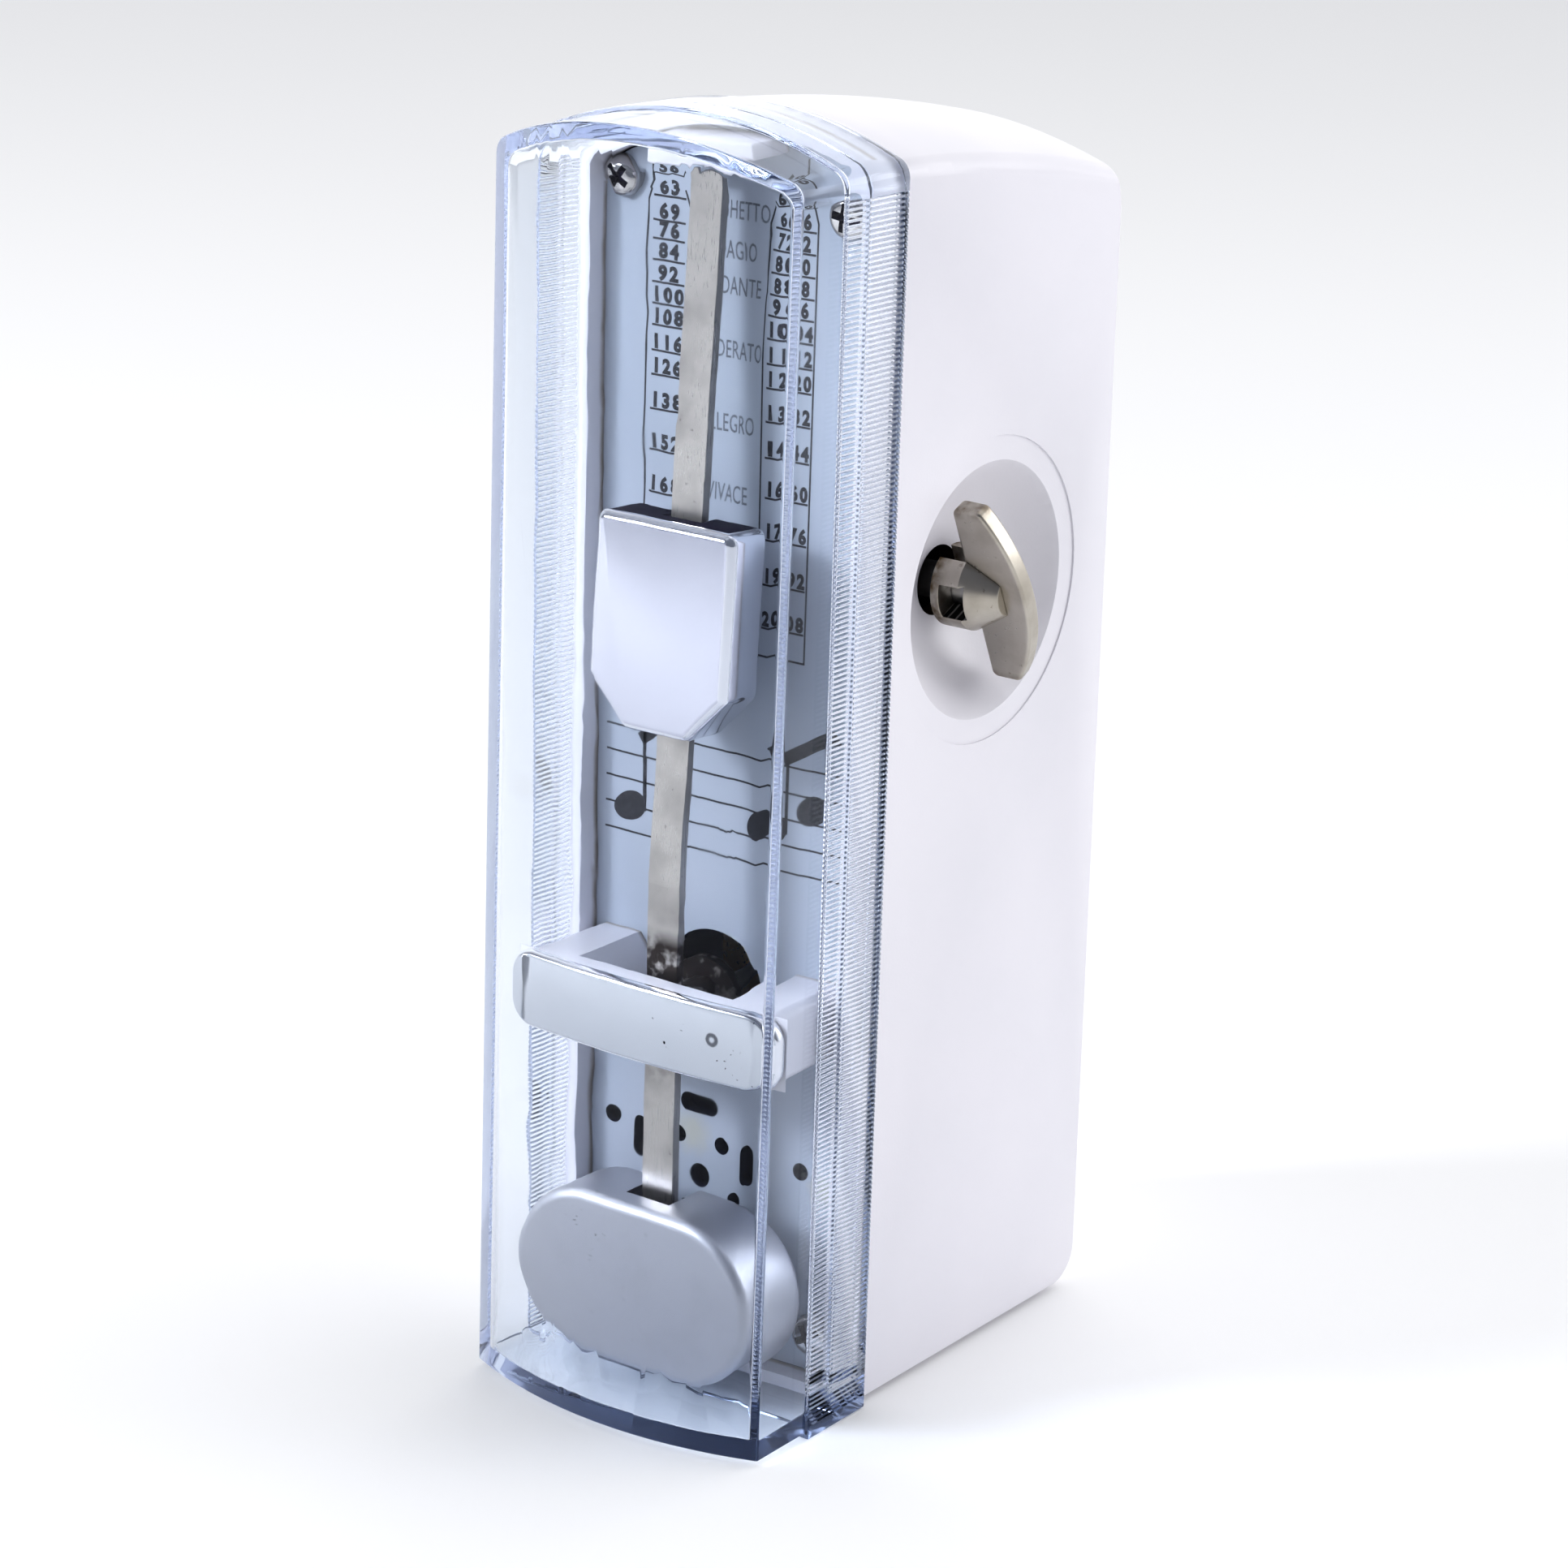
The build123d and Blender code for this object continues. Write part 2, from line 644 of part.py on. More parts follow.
def make_side_plates():
    names = {"left_side_plate": LEFT_PLATE_X, "right_side_plate": RIGHT_PLATE_X}
    escape_hole_r = {"left_side_plate": BUSH_R, "right_side_plate": 3.0}
    for name, x in names.items():
        with BuildPart() as plate:
            with BuildSketch(side_plane(x)):
                with Locations(((DIAL_REAR + PLATE_REAR) / 2, (PLATE_LOW + PLATE_HIGH) / 2)):
                    RectangleRounded(PLATE_REAR - DIAL_REAR, PLATE_HIGH - PLATE_LOW, 2)
                with Locations((TRAIN_Y, DISH_Z)):
                    Circle(WIND_R + FIT, mode=Mode.SUBTRACT)
                with Locations((TRAIN_Y, MIDDLE_Z)):
                    Circle(ARBOR_R + FIT, mode=Mode.SUBTRACT)
                with Locations((TRAIN_Y, ESCAPE_Z)):
                    Circle(escape_hole_r[name], mode=Mode.SUBTRACT)
                with Locations(*PILLAR_PLACES):
                    Circle(0.8, mode=Mode.SUBTRACT)
            extrude(amount=PLATE_THICK)
        save(plate, name)


def make_pillars():
    left = LEFT_PLATE_X + PLATE_THICK
    with BuildPart() as pillars:
        with BuildSketch(side_plane(left)):
            with Locations(*PILLAR_PLACES):
                Circle(1.5)
        extrude(amount=RIGHT_PLATE_X - left)
        with BuildSketch(side_plane(left - 1)):
            with Locations(*PILLAR_PLACES):
                Circle(0.8)
        extrude(amount=5, mode=Mode.SUBTRACT)
        with BuildSketch(side_plane(RIGHT_PLATE_X + 1)):
            with Locations(*PILLAR_PLACES):
                Circle(0.8)
        extrude(amount=-5, mode=Mode.SUBTRACT)
    save(pillars, "pillars")

    with BuildPart() as pillar_screws:
        for outside, inwards in ((LEFT_PLATE_X, 1), (RIGHT_PLATE_X + PLATE_THICK, -1)):
            with BuildSketch(side_plane(outside)):
                with Locations(*PILLAR_PLACES):
                    Circle(1.5)
            extrude(amount=-0.8 * inwards)
            with BuildSketch(side_plane(outside)):
                with Locations(*PILLAR_PLACES):
                    Circle(0.78)
            extrude(amount=4 * inwards)
            with BuildSketch(side_plane(outside - 0.4 * inwards)):
                with Locations(*PILLAR_PLACES):
                    Rectangle(4, 0.4)
            extrude(amount=-2 * inwards, mode=Mode.SUBTRACT)
    save(pillar_screws, "pillar_screws")


def make_barrel():
    """the great wheel with the drum that holds the mainspring"""
    teeth = wheel_blank(GREAT_X, 1.2, DISH_Z, GREAT_TEETH, -90, WIND_R + FIT)
    with BuildPart() as great_wheel:
        add(teeth)
    save(great_wheel, "great_wheel")

    with BuildPart() as spring_barrel:
        with BuildSketch(side_plane(GREAT_X + 1.2)):
            with Locations((TRAIN_Y, DISH_Z)):
                Circle(BARREL_R)
                Circle(BARREL_R - BARREL_WALL, mode=Mode.SUBTRACT)
        extrude(amount=LID_X - GREAT_X - 1.2)
    save(spring_barrel, "spring_barrel")

    lid = disc(LID_X, 0.6, DISH_Z, BARREL_R, WIND_R + FIT)
    with BuildPart() as barrel_lid:
        add(lid)
    save(barrel_lid, "barrel_lid")

    turns = 7
    steps = 16
    inner_r = 3.4
    outer_r = BARREL_R - BARREL_WALL - 0.2
    strip = 0.3
    count = turns * steps
    outside = []
    inside = []
    for step in range(count + 1):
        angle = 2 * math.pi * step / steps
        radius = inner_r + (outer_r - inner_r) * step / count
        outside.append((radius * math.cos(angle), radius * math.sin(angle)))
        inside.append(((radius - strip) * math.cos(angle), (radius - strip) * math.sin(angle)))
    centre = Plane(origin=(GREAT_X + 1.4, TRAIN_Y, DISH_Z), x_dir=(0, 1, 0), z_dir=(1, 0, 0))
    with BuildPart() as mainspring:
        with BuildSketch(centre):
            with BuildLine():
                Spline(*outside)
                Line(outside[-1], inside[-1])
                Spline(*inside)
                Line(inside[0], outside[0])
            make_face()
        extrude(amount=LID_X - GREAT_X - 1.6)
    save(mainspring, "mainspring")


def make_middle_wheel():
    half_tooth = 180 / MIDDLE_PINION_TEETH
    pinion = wheel_blank(GREAT_X - 0.5, 2.2, MIDDLE_Z, MIDDLE_PINION_TEETH, 90 + half_tooth, ARBOR_R)
    teeth = wheel_blank(MIDDLE_X, 1.0, MIDDLE_Z, MIDDLE_TEETH, -90, ARBOR_R)
    rod = rod_along_x(LEFT_PLATE_X, RIGHT_PLATE_X + PLATE_THICK - LEFT_PLATE_X, MIDDLE_Z, ARBOR_R)
    with BuildPart() as middle_pinion:
        add(pinion)
    save(middle_pinion, "middle_pinion")
    with BuildPart() as middle_wheel:
        add(teeth)
        with BuildSketch(side_plane(MIDDLE_X - 1)):
            with Locations((TRAIN_Y, MIDDLE_Z)):
                with PolarLocations(7.2, 5):
                    Circle(2.6)
        extrude(amount=3, mode=Mode.SUBTRACT)
    save(middle_wheel, "middle_wheel")
    with BuildPart() as middle_arbor:
        add(rod)
    save(middle_arbor, "middle_arbor")


def make_escape_wheel():
    half_tooth = 180 / ESCAPE_PINION_TEETH
    pinion = wheel_blank(MIDDLE_X - 0.5, 2.0, ESCAPE_Z, ESCAPE_PINION_TEETH, 90 + half_tooth, ARBOR_R)
    rod = rod_along_x(ESCAPE_END_X, CROWN_X + 1.6 - ESCAPE_END_X, ESCAPE_Z, ARBOR_R)
    bush = disc(BUSH_END_X, LEFT_PLATE_X + PLATE_THICK - BUSH_END_X, ESCAPE_Z, BUSH_R, ARBOR_R + FIT)
    web = disc(CROWN_X, CROWN_WALL, ESCAPE_Z, CROWN_R, ARBOR_R)
    step = 360 / CROWN_TEETH
    with BuildPart() as escape_pinion:
        add(pinion)
    save(escape_pinion, "escape_pinion")
    with BuildPart() as escape_arbor:
        add(rod)
    save(escape_arbor, "escape_arbor")
    with BuildPart() as escape_bush:
        add(bush)
    save(escape_bush, "escape_bush")
    with BuildPart() as crown_wheel:
        add(web)
        with BuildSketch(side_plane(CROWN_X)):
            with Locations((TRAIN_Y, ESCAPE_Z)):
                Circle(CROWN_R)
                Circle(CROWN_R - CROWN_WALL, mode=Mode.SUBTRACT)
        extrude(amount=CROWN_TIP_X - CROWN_X)
        # saw teeth are cut into the edge of the cup, each seen along its own radius
        for tooth in range(CROWN_TEETH):
            angle = math.radians(tooth * step + 6)
            outwards = (0, math.cos(angle), math.sin(angle))
            cut_plane = Plane(origin=(CROWN_TIP_X, TRAIN_Y, ESCAPE_Z), x_dir=(1, 0, 0), z_dir=outwards)
            with BuildSketch(cut_plane):
                Polygon((0.1, -1.35), (0.1, 1.35), (-CROWN_TOOTH_DEEP, 1.35), align=None)
            extrude(amount=CROWN_R + 1, mode=Mode.SUBTRACT)
    save(crown_wheel, "crown_wheel")


def make_pallets():
    """two small flags on the pendulum's arbor, one beside each edge of the crown wheel"""
    mean_r = CROWN_R - CROWN_WALL / 2
    with BuildPart() as pallets:
        for depth, tilt in ((TRAIN_Y - mean_r, 130), (TRAIN_Y + mean_r, 230)):
            outwards = math.radians(tilt)
            flag_plane = Plane(
                origin=(0, depth, PIVOT_Z),
                x_dir=(math.cos(outwards), 0, math.sin(outwards)),
                z_dir=(0, 1, 0),
            )
            with BuildSketch(flag_plane.offset(-0.9)):
                with Locations((1.2, 0)):
                    Rectangle(1.5, 0.35)
                Circle(1.2)
                Circle(ARBOR_R, mode=Mode.SUBTRACT)
            extrude(amount=1.8)
    save(pallets, "pallets")


def make_winding():
    arbor = rod_along_x(LEFT_PLATE_X, WIND_END_X - LEFT_PLATE_X, DISH_Z, WIND_R)
    with BuildPart() as winding_arbor:
        add(arbor)
    save(winding_arbor, "winding_arbor")

    count = 16
    points = []
    for tooth in range(count):
        base = 360 / count * tooth
        for radius, turn in ((4.0, 0.0), (5.0, 1.5), (4.0, 360 / count - 0.5)):
            angle = math.radians(base + turn)
            points.append((radius * math.cos(angle), radius * math.sin(angle)))
    with BuildPart() as ratchet_wheel:
        with BuildSketch(side_plane(RATCHET_X)):
            with Locations((TRAIN_Y, DISH_Z)):
                Polygon(*points, align=None)
                Circle(WIND_R, mode=Mode.SUBTRACT)
        extrude(amount=0.9)
    save(ratchet_wheel, "ratchet_wheel")

    stud_y = TRAIN_Y + 4.6
    stud_z = DISH_Z - 5.6
    with BuildPart() as click_stud:
        with BuildSketch(side_plane(RIGHT_PLATE_X)):
            with Locations((stud_y, stud_z)):
                Circle(0.7)
        extrude(amount=RATCHET_X - 0.1 - RIGHT_PLATE_X)
    save(click_stud, "click_stud")
    with BuildPart() as click:
        with BuildSketch(side_plane(RATCHET_X)):
            with Locations((stud_y, stud_z)):
                Circle(1.5)
            with BuildLine():
                Polyline(
                    (stud_y - 0.9, stud_z + 0.8),
                    (stud_y + 0.45, stud_z + 4.6),
                    (stud_y + 1.2, stud_z + 4.4),
                    (stud_y + 1.4, stud_z + 0.3),
                    close=True,
                )
            make_face()
            with Locations((stud_y, stud_z)):
                Circle(0.7 + FIT, mode=Mode.SUBTRACT)
        extrude(amount=0.9)
    save(click, "click")


def make_key():
    """the winding key: a hub with a window in its side and a curved wing across it"""
    turn = math.radians(KEY_TURN)
    wing_plane = Plane(
        origin=(0, DISH_Y, DISH_Z),
        x_dir=(1, 0, 0),
        z_dir=(0, -math.cos(turn), -math.sin(turn)),
    )
    bore = WIND_R + 0.02
    with BuildPart() as key_hub:
        with BuildSketch(side_plane(HUB_REAR_X)):
            with Locations((DISH_Y, DISH_Z)):
                Circle(HUB_R)
        extrude(amount=HUB_SHOULDER_X - HUB_REAR_X)
        with BuildSketch(side_plane(HUB_SHOULDER_X)):
            with Locations((DISH_Y, DISH_Z)):
                Circle(HUB_R)
        with BuildSketch(side_plane(HUB_TIP_X)):
            with Locations((DISH_Y, DISH_Z)):
                Circle(HUB_TIP_R)
        loft()
        with BuildSketch(side_plane(HUB_REAR_X - 1)):
            with Locations((DISH_Y, DISH_Z)):
                Circle(bore)
        extrude(amount=WIND_END_X + 0.1 - (HUB_REAR_X - 1), mode=Mode.SUBTRACT)
        # the window that shows the thread inside, on the side that faces forward
        with BuildSketch(wing_plane):
            with Locations((12.9, 0.6)):
                Rectangle(2.2, 2.8)
        extrude(amount=5, mode=Mode.SUBTRACT)
        with BuildSketch(wing_plane.offset(-WING_THICK / 2)):
            Rectangle(60, 30)
        extrude(amount=WING_THICK, mode=Mode.SUBTRACT)
    save(key_hub, "key_hub")

    with BuildPart() as key_wing:
        with BuildSketch(wing_plane.offset(-WING_THICK / 2)) as outline:
            with BuildLine():
                Polyline(
                    (WING_END_X, WING_HALF),
                    (WING_INNER_X, WING_HALF),
                    (WING_INNER_X, -WING_HALF),
                    (WING_END_X, -WING_HALF),
                )
                ThreePointArc((WING_END_X, -WING_HALF), (WING_TIP_X, 0), (WING_END_X, WING_HALF))
            make_face()
            fillet(outline.vertices(), 0.6)
        extrude(amount=WING_THICK)
        fillet(key_wing.edges().group_by(Axis.X)[-1], 0.3)
    save(key_wing, "key_wing")


make_case()
make_feet()
make_cover()
make_dial()
make_dial_screws()
make_rod_catch()
make_bridge()
make_trim()
make_front_bearing()
make_rear_cock()
make_pendulum()
make_sliding_weight()
make_side_plates()
make_pillars()
make_barrel()
make_middle_wheel()
make_escape_wheel()
make_pallets()
make_winding()
make_key()
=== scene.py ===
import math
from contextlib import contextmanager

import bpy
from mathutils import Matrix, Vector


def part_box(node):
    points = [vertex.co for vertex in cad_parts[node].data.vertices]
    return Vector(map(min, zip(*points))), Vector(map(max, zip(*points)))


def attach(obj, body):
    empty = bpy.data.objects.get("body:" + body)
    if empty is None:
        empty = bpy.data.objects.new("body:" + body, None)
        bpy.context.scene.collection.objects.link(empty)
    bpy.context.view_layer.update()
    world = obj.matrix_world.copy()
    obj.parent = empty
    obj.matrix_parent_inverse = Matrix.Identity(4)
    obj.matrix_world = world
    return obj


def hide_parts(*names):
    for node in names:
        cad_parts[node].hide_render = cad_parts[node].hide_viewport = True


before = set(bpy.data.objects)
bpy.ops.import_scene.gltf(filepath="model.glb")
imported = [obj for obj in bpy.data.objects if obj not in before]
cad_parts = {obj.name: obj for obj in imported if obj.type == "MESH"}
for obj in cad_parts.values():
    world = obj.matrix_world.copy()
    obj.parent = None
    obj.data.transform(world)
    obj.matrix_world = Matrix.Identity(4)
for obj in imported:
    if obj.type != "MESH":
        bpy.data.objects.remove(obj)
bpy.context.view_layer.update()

# %% [markdown]
# # A pocket metronome
#
# The object is a small wind-up metronome: a white plastic case, a dial behind a clear cover,
# a steel rod that swings in front of the dial with a weight that slides on it, and a key on the
# right side. The model that was loaded above already has every piece at its true size and place.
# Here each piece gets the surface that a maker would give it, and the pieces whose edges or ribs
# are too fine for the plain model are shaped again.
#
# Everything is in metres, so a helper value for one millimetre keeps the sizes readable.

mm = 0.001

# %% [markdown]
# ## Working the way hands do
#
# Blender's operators act on whatever is selected, so a piece is always made with nothing else
# selected. These few helpers do the housekeeping: select one piece, step in and out of edit mode,
# pick faces or edges by where they are, and apply a modifier for good.


# %% Selection helpers
def only(*pieces):
    """Selects these pieces and nothing else."""
    bpy.ops.object.select_all(action="DESELECT")
    for piece in pieces:
        piece.select_set(True)
    bpy.context.view_layer.objects.active = pieces[0]
    return pieces[0]


@contextmanager
def editing(piece, kind="FACE"):
    """Everything inside the with block happens in edit mode, on faces, edges or vertices."""
    only(piece)
    bpy.ops.object.mode_set(mode="EDIT")
    bpy.ops.mesh.select_mode(type=kind)
    yield piece
    bpy.ops.object.mode_set(mode="OBJECT")


def pick_faces(piece, test):
    """Selects the faces for which test(centre, normal) is true. It is called in object mode."""
    for vertex in piece.data.vertices:
        vertex.select = False
    for edge in piece.data.edges:
        edge.select = False
    for face in piece.data.polygons:
        face.select = bool(test(face.center, face.normal))
    return sum(face.select for face in piece.data.polygons)


def apply_modifier(piece, kind, **settings):
    """Adds a modifier with these settings and applies it at once."""
    only(piece)
    modifier = piece.modifiers.new(kind.title(), kind)
    for name, value in settings.items():
        setattr(modifier, name, value)
    bpy.ops.object.modifier_apply(modifier=modifier.name)
    return piece


def settle(piece):
    """Moves a piece's place and turn into its mesh, so that its object sits at the origin."""
    only(piece)
    bpy.ops.object.transform_apply(location=True, rotation=True, scale=True)
    return piece


def face_count(piece):
    return len(piece.data.polygons)


# %% [markdown]
# ## Finishes
#
# A finish is a node tree. Wiring one by hand is slow to read in code, so two small classes help.
# A Level wraps one output of a node and can be added, multiplied or clamped as if it were a
# number. A Finish holds one material, and its one method adds any node. The sizes of the patterns
# are given as how many fit in a metre, because the pieces' own coordinates are in metres.


# %% Levels that can be added and multiplied
class Level:
    """An output of a shader node, used like a number."""

    def __init__(self, finish, socket):
        self.finish = finish
        self.socket = socket

    def combine(self, operation, first, second, clamp=False):
        settings = {"operation": operation, "use_clamp": clamp}
        return self.finish.add("ShaderNodeMath", settings, {0: first, 1: second})

    def __add__(self, other):
        return self.combine("ADD", self, other)

    def __mul__(self, other):
        return self.combine("MULTIPLY", self, other)

    def __sub__(self, other):
        return self.combine("SUBTRACT", self, other)

    def __rsub__(self, other):
        return self.combine("SUBTRACT", other, self)

    def __pow__(self, other):
        return self.combine("POWER", self, other)

    __radd__ = __add__
    __rmul__ = __mul__

    def held(self):
        """The same level, held between 0 and 1."""
        return self.combine("ADD", self, 0.0, clamp=True)


class Finish:
    """One material, built node by node around a Principled shader."""

    def __init__(self, name):
        self.material = bpy.data.materials.new(name)
        self.material.use_nodes = True
        self.tree = self.material.node_tree
        self.surface = self.tree.nodes["Principled BSDF"]
        self.output = self.tree.nodes["Material Output"]
        self.place = self.add("ShaderNodeTexCoord", output="Object")

    def add(self, kind, settings=None, inputs=None, output=0):
        """Adds a node, sets it up, feeds its inputs and returns one of its outputs as a Level."""
        node = self.tree.nodes.new(kind)
        for name, value in (settings or {}).items():
            setattr(node, name, value)
        for name, value in (inputs or {}).items():
            self.feed(node.inputs[name], value)
        return Level(self, node.outputs[output])

    def feed(self, socket, value):
        if isinstance(value, Level):
            self.tree.links.new(value.socket, socket)
        else:
            socket.default_value = value

    def set(self, **inputs):
        """Feeds the Principled shader. Underscores stand for spaces in its socket names."""
        for name, value in inputs.items():
            self.feed(self.surface.inputs[name.replace("_", " ")], value)
        return self

    def noise(self, per_metre, detail=3.0, stretch=(1, 1, 1), offset=(0, 0, 0)):
        """Soft random blotches between 0 and 1. A larger stretch makes them narrower that way."""
        moved = self.add(
            "ShaderNodeMapping", None, {"Vector": self.place, "Scale": stretch, "Location": offset}
        )
        inputs = {"Vector": moved, "Scale": per_metre, "Detail": detail}
        return self.add("ShaderNodeTexNoise", None, inputs)

    def ramp(self, level, low, high, start=0.0, end=1.0):
        """Turns a level that runs from low to high into one that runs from start to end."""
        inputs = {"Value": level, "From Min": low, "From Max": high, "To Min": start, "To Max": end}
        return self.add("ShaderNodeMapRange", None, inputs)

    def along(self, axis):
        """How far along X, Y or Z a point of the piece is, in metres."""
        parts = self.add("ShaderNodeSeparateXYZ", None, {0: self.place})
        return Level(self, parts.socket.node.outputs[axis])

    def away_from(self, x, y, z):
        """How far a point of the piece is from this point, in metres."""
        settings = {"operation": "DISTANCE"}
        return self.add("ShaderNodeVectorMath", settings, {0: self.place, 1: (x, y, z)}, output=1)

    def blend(self, share, first, second):
        """One colour where share is 0 and the other where it is 1."""
        return self.add("ShaderNodeMix", {"data_type": "RGBA"}, {0: share, 6: first, 7: second}, output=2)

    def height(self, level, distance, strength=1.0):
        """Raises the surface by up to distance where the level is 1, as far as light can tell."""
        inputs = {"Height": level, "Distance": distance, "Strength": strength}
        self.set(Normal=self.add("ShaderNodeBump", None, inputs))
        return self


def rgb(red, green, blue):
    return (red, green, blue, 1.0)


print("finish classes ready")

# %% [markdown]
# ### White plastic
#
# The case is injection moulded in white plastic, slightly cool in tone. It is not a mirror: the
# mould leaves a very fine orange-peel skin, handling leaves faint duller patches, and old plastic
# is never quite one colour. Two noises at different scales feed colour and roughness.


# %% White case plastic, and the dial plastic darkened with painted shade
def moulded_plastic(name, colour, shade, roughness, marking=None):
    finish = Finish(name)
    patches = finish.noise(60, 4)
    grain = finish.noise(5000, 3)
    tone = finish.blend(finish.ramp(patches, 0.35, 0.7), colour, shade)
    if marking:
        share, mark_tone = marking(finish)
        tone = finish.blend(share, tone, mark_tone)
    finish.set(Base_Color=tone, Roughness=finish.ramp(patches, 0.3, 0.7, roughness, roughness + 0.1))
    finish.height(grain, 0.006 * mm)
    return finish.material


def grime_beside_dial(finish):
    """A brownish darkening in the corner between the front rim and the edge of the dial."""
    depth = finish.along("Y")
    side = finish.along("X")
    corner = finish.ramp(depth, -11.5 * mm, -11.1 * mm) * finish.ramp(depth, -10.6 * mm, -11.0 * mm)
    inner_wall = finish.ramp(side * side, (12.75 * mm) ** 2, (12.6 * mm) ** 2)
    share = corner * inner_wall * finish.ramp(finish.noise(400, 4), 0.25, 0.6, 0.45, 1.0)
    return share, rgb(0.34, 0.29, 0.25)


def stains_by_holes(finish):
    """Faint yellow spots of old oil beside two of the sound holes."""
    edges = finish.noise(900, 4) * (1.6 * mm)
    near_slot = finish.ramp(finish.away_from(-2.0 * mm, -11 * mm, 20.8 * mm) + edges, 3.2 * mm, 1.4 * mm)
    near_hole = finish.ramp(finish.away_from(11.0 * mm, -11 * mm, 18.8 * mm) + edges, 2.6 * mm, 1.2 * mm)
    return (near_slot + near_hole).held() * 0.45, rgb(0.52, 0.48, 0.30)


case_white = moulded_plastic(
    "case_white", rgb(0.80, 0.785, 0.84), rgb(0.77, 0.76, 0.815), 0.3, grime_beside_dial
)
# The dial is white plastic as well. Its colour is a darker, bluish grey: painted shade for where it sits, deep
# in the case behind the cover.
dial_shaded_white = moulded_plastic(
    "dial_shaded_white", rgb(0.47, 0.51, 0.59), rgb(0.43, 0.48, 0.56), 0.35, stains_by_holes
)
# Painted shade: a near-black plastic laid where the real surface is white plastic or metal lying in shade. It
# goes on the case's cavity, on the walls of holes, slots, recesses and screw crosses, and on the back of the
# trim.
painted_shade_dark = moulded_plastic("painted_shade_dark", rgb(0.006, 0.006, 0.015), rgb(0.015, 0.012, 0.03), 0.7)
# Painted shade for the shaft hole of the key: near black with a brown cast.
shaft_hole_shade = moulded_plastic("shaft_hole_shade", rgb(0.008, 0.005, 0.004), rgb(0.07, 0.04, 0.02), 0.6)
for shadowed in (painted_shade_dark, shaft_hole_shade):
    shadowed.node_tree.nodes["Principled BSDF"].inputs["Specular IOR Level"].default_value = 0.05
print("plastics:", case_white.name, dial_shaded_white.name, painted_shade_dark.name, shaft_hole_shade.name)

# %% [markdown]
# ### Clear plastic
#
# The cover is clear polystyrene, about 1.4 mm thick. Seen face on it is almost invisible, and seen
# end on, through several millimetres of plastic, it turns blue. That is what a volume with a little
# absorption does, so the tint lives in the volume and the surface stays clear. Rays from lamps
# go straight through, otherwise the dial behind it would be dark.


# %% Clear cover plastic
def clear_plastic(name, tint, density):
    finish = Finish(name)
    smears = finish.noise(180, 4)
    finish.set(Base_Color=rgb(0.96, 0.98, 1.0), Transmission_Weight=1.0, IOR=1.5)
    finish.set(Specular_Tint=rgb(0.15, 0.16, 0.2))
    finish.set(Roughness=finish.ramp(smears, 0.45, 0.75, 0.02, 0.07))
    lamp_rays = finish.add("ShaderNodeLightPath", output="Is Shadow Ray")
    open_way = finish.add("ShaderNodeBsdfTransparent", None, {"Color": rgb(0.95, 0.97, 1.0)})
    shader = Level(finish, finish.surface.outputs[0])
    mixed = finish.add("ShaderNodeMixShader", None, {0: lamp_rays, 1: shader, 2: open_way})
    finish.feed(finish.output.inputs["Surface"], mixed)
    body = finish.add("ShaderNodeVolumeAbsorption", None, {"Color": tint, "Density": density})
    finish.feed(finish.output.inputs["Volume"], body)
    return finish.material


cover_clear = clear_plastic("cover_clear", rgb(0.60, 0.66, 0.78), 115.0)
print("clear plastic:", cover_clear.name)

# %% [markdown]
# ### Metals
#
# Every metal here is nickel, chrome, zinc or brass over something cheaper. What tells them apart
# is how they were worked: the rod is brushed along its length, the weights are tumbled to a satin,
# the screws and the rims are polished. One function makes them all from a colour, a roughness, the
# direction of the brushing and how much stain has settled on the piece.


# %% One function for worked metals
def worked_metal(
    name,
    colour,
    stain,
    roughness,
    brushing=(1, 1, 1),
    stained=0.3,
    ridges=0.002,
    uneven=0.05,
    extra_marks=None,
):
    finish = Finish(name)
    lines = finish.noise(2500, 3, brushing)
    clouds = finish.noise(260, 5)
    specks = finish.ramp(finish.noise(1400, 4, offset=(0.3, 0.1, 0.2)), 0.68, 0.74)
    dirt = finish.ramp(clouds, 0.45, 0.8, 0.0, stained) + specks * stained
    if extra_marks:
        dirt = dirt + extra_marks(finish)
    dirt = dirt.held()
    rough_lines = finish.ramp(lines, 0.3, 0.7, roughness - uneven, roughness + uneven)
    finish.set(
        Base_Color=finish.blend(dirt, colour, stain),
        Metallic=1.0,
        Roughness=(rough_lines + dirt * 0.2).held(),
    )
    finish.height(lines, ridges * mm)
    return finish.material


def brown_tips(finish):
    """Brown patina where fingers don't polish the key: at the ends of its wing and round its hub."""
    from_middle = finish.away_from(15.5 * mm, 4.9 * mm, 66.7 * mm)
    tips = finish.ramp(from_middle, 7.6 * mm, 8.9 * mm)
    base = finish.ramp(finish.along("X"), 12.4 * mm, 11.2 * mm)
    return (tips + base) * finish.ramp(finish.noise(900, 4), 0.35, 0.65)


def oxide_by_bridge(finish):
    """A dark patch on the rod around where it passes the bridge, stronger above it than below."""
    height = finish.along("Z")
    above = finish.ramp(height, 41 * mm, 38 * mm) * finish.ramp(height, 33 * mm, 36 * mm)
    below = finish.ramp(height, 26 * mm, 31 * mm) * finish.ramp(height, 33 * mm, 31 * mm)
    return (above * 2 + below * 0.7) * finish.ramp(finish.noise(700, 4), 0.3, 0.6)


def tool_marks(finish):
    """A small ring pressed into the trim, and a scatter of pits in the plating."""
    edges = finish.noise(2500, 2) * (0.12 * mm)
    from_ring = finish.away_from(7.7 * mm, -21 * mm, 34.4 * mm) + edges
    outer = finish.ramp(from_ring, 0.72 * mm, 0.6 * mm)
    ring = outer * finish.ramp(from_ring, 0.3 * mm, 0.42 * mm)
    specks = finish.ramp(finish.noise(2600, 1), 0.71, 0.76)
    middle = finish.ramp(finish.away_from(3.4 * mm, -21 * mm, 33.6 * mm), 2.6 * mm, 1.2 * mm)
    right = finish.ramp(finish.away_from(9.0 * mm, -21 * mm, 32.6 * mm), 2.2 * mm, 0.9 * mm)
    return ring * 0.75 + specks * (middle + right)


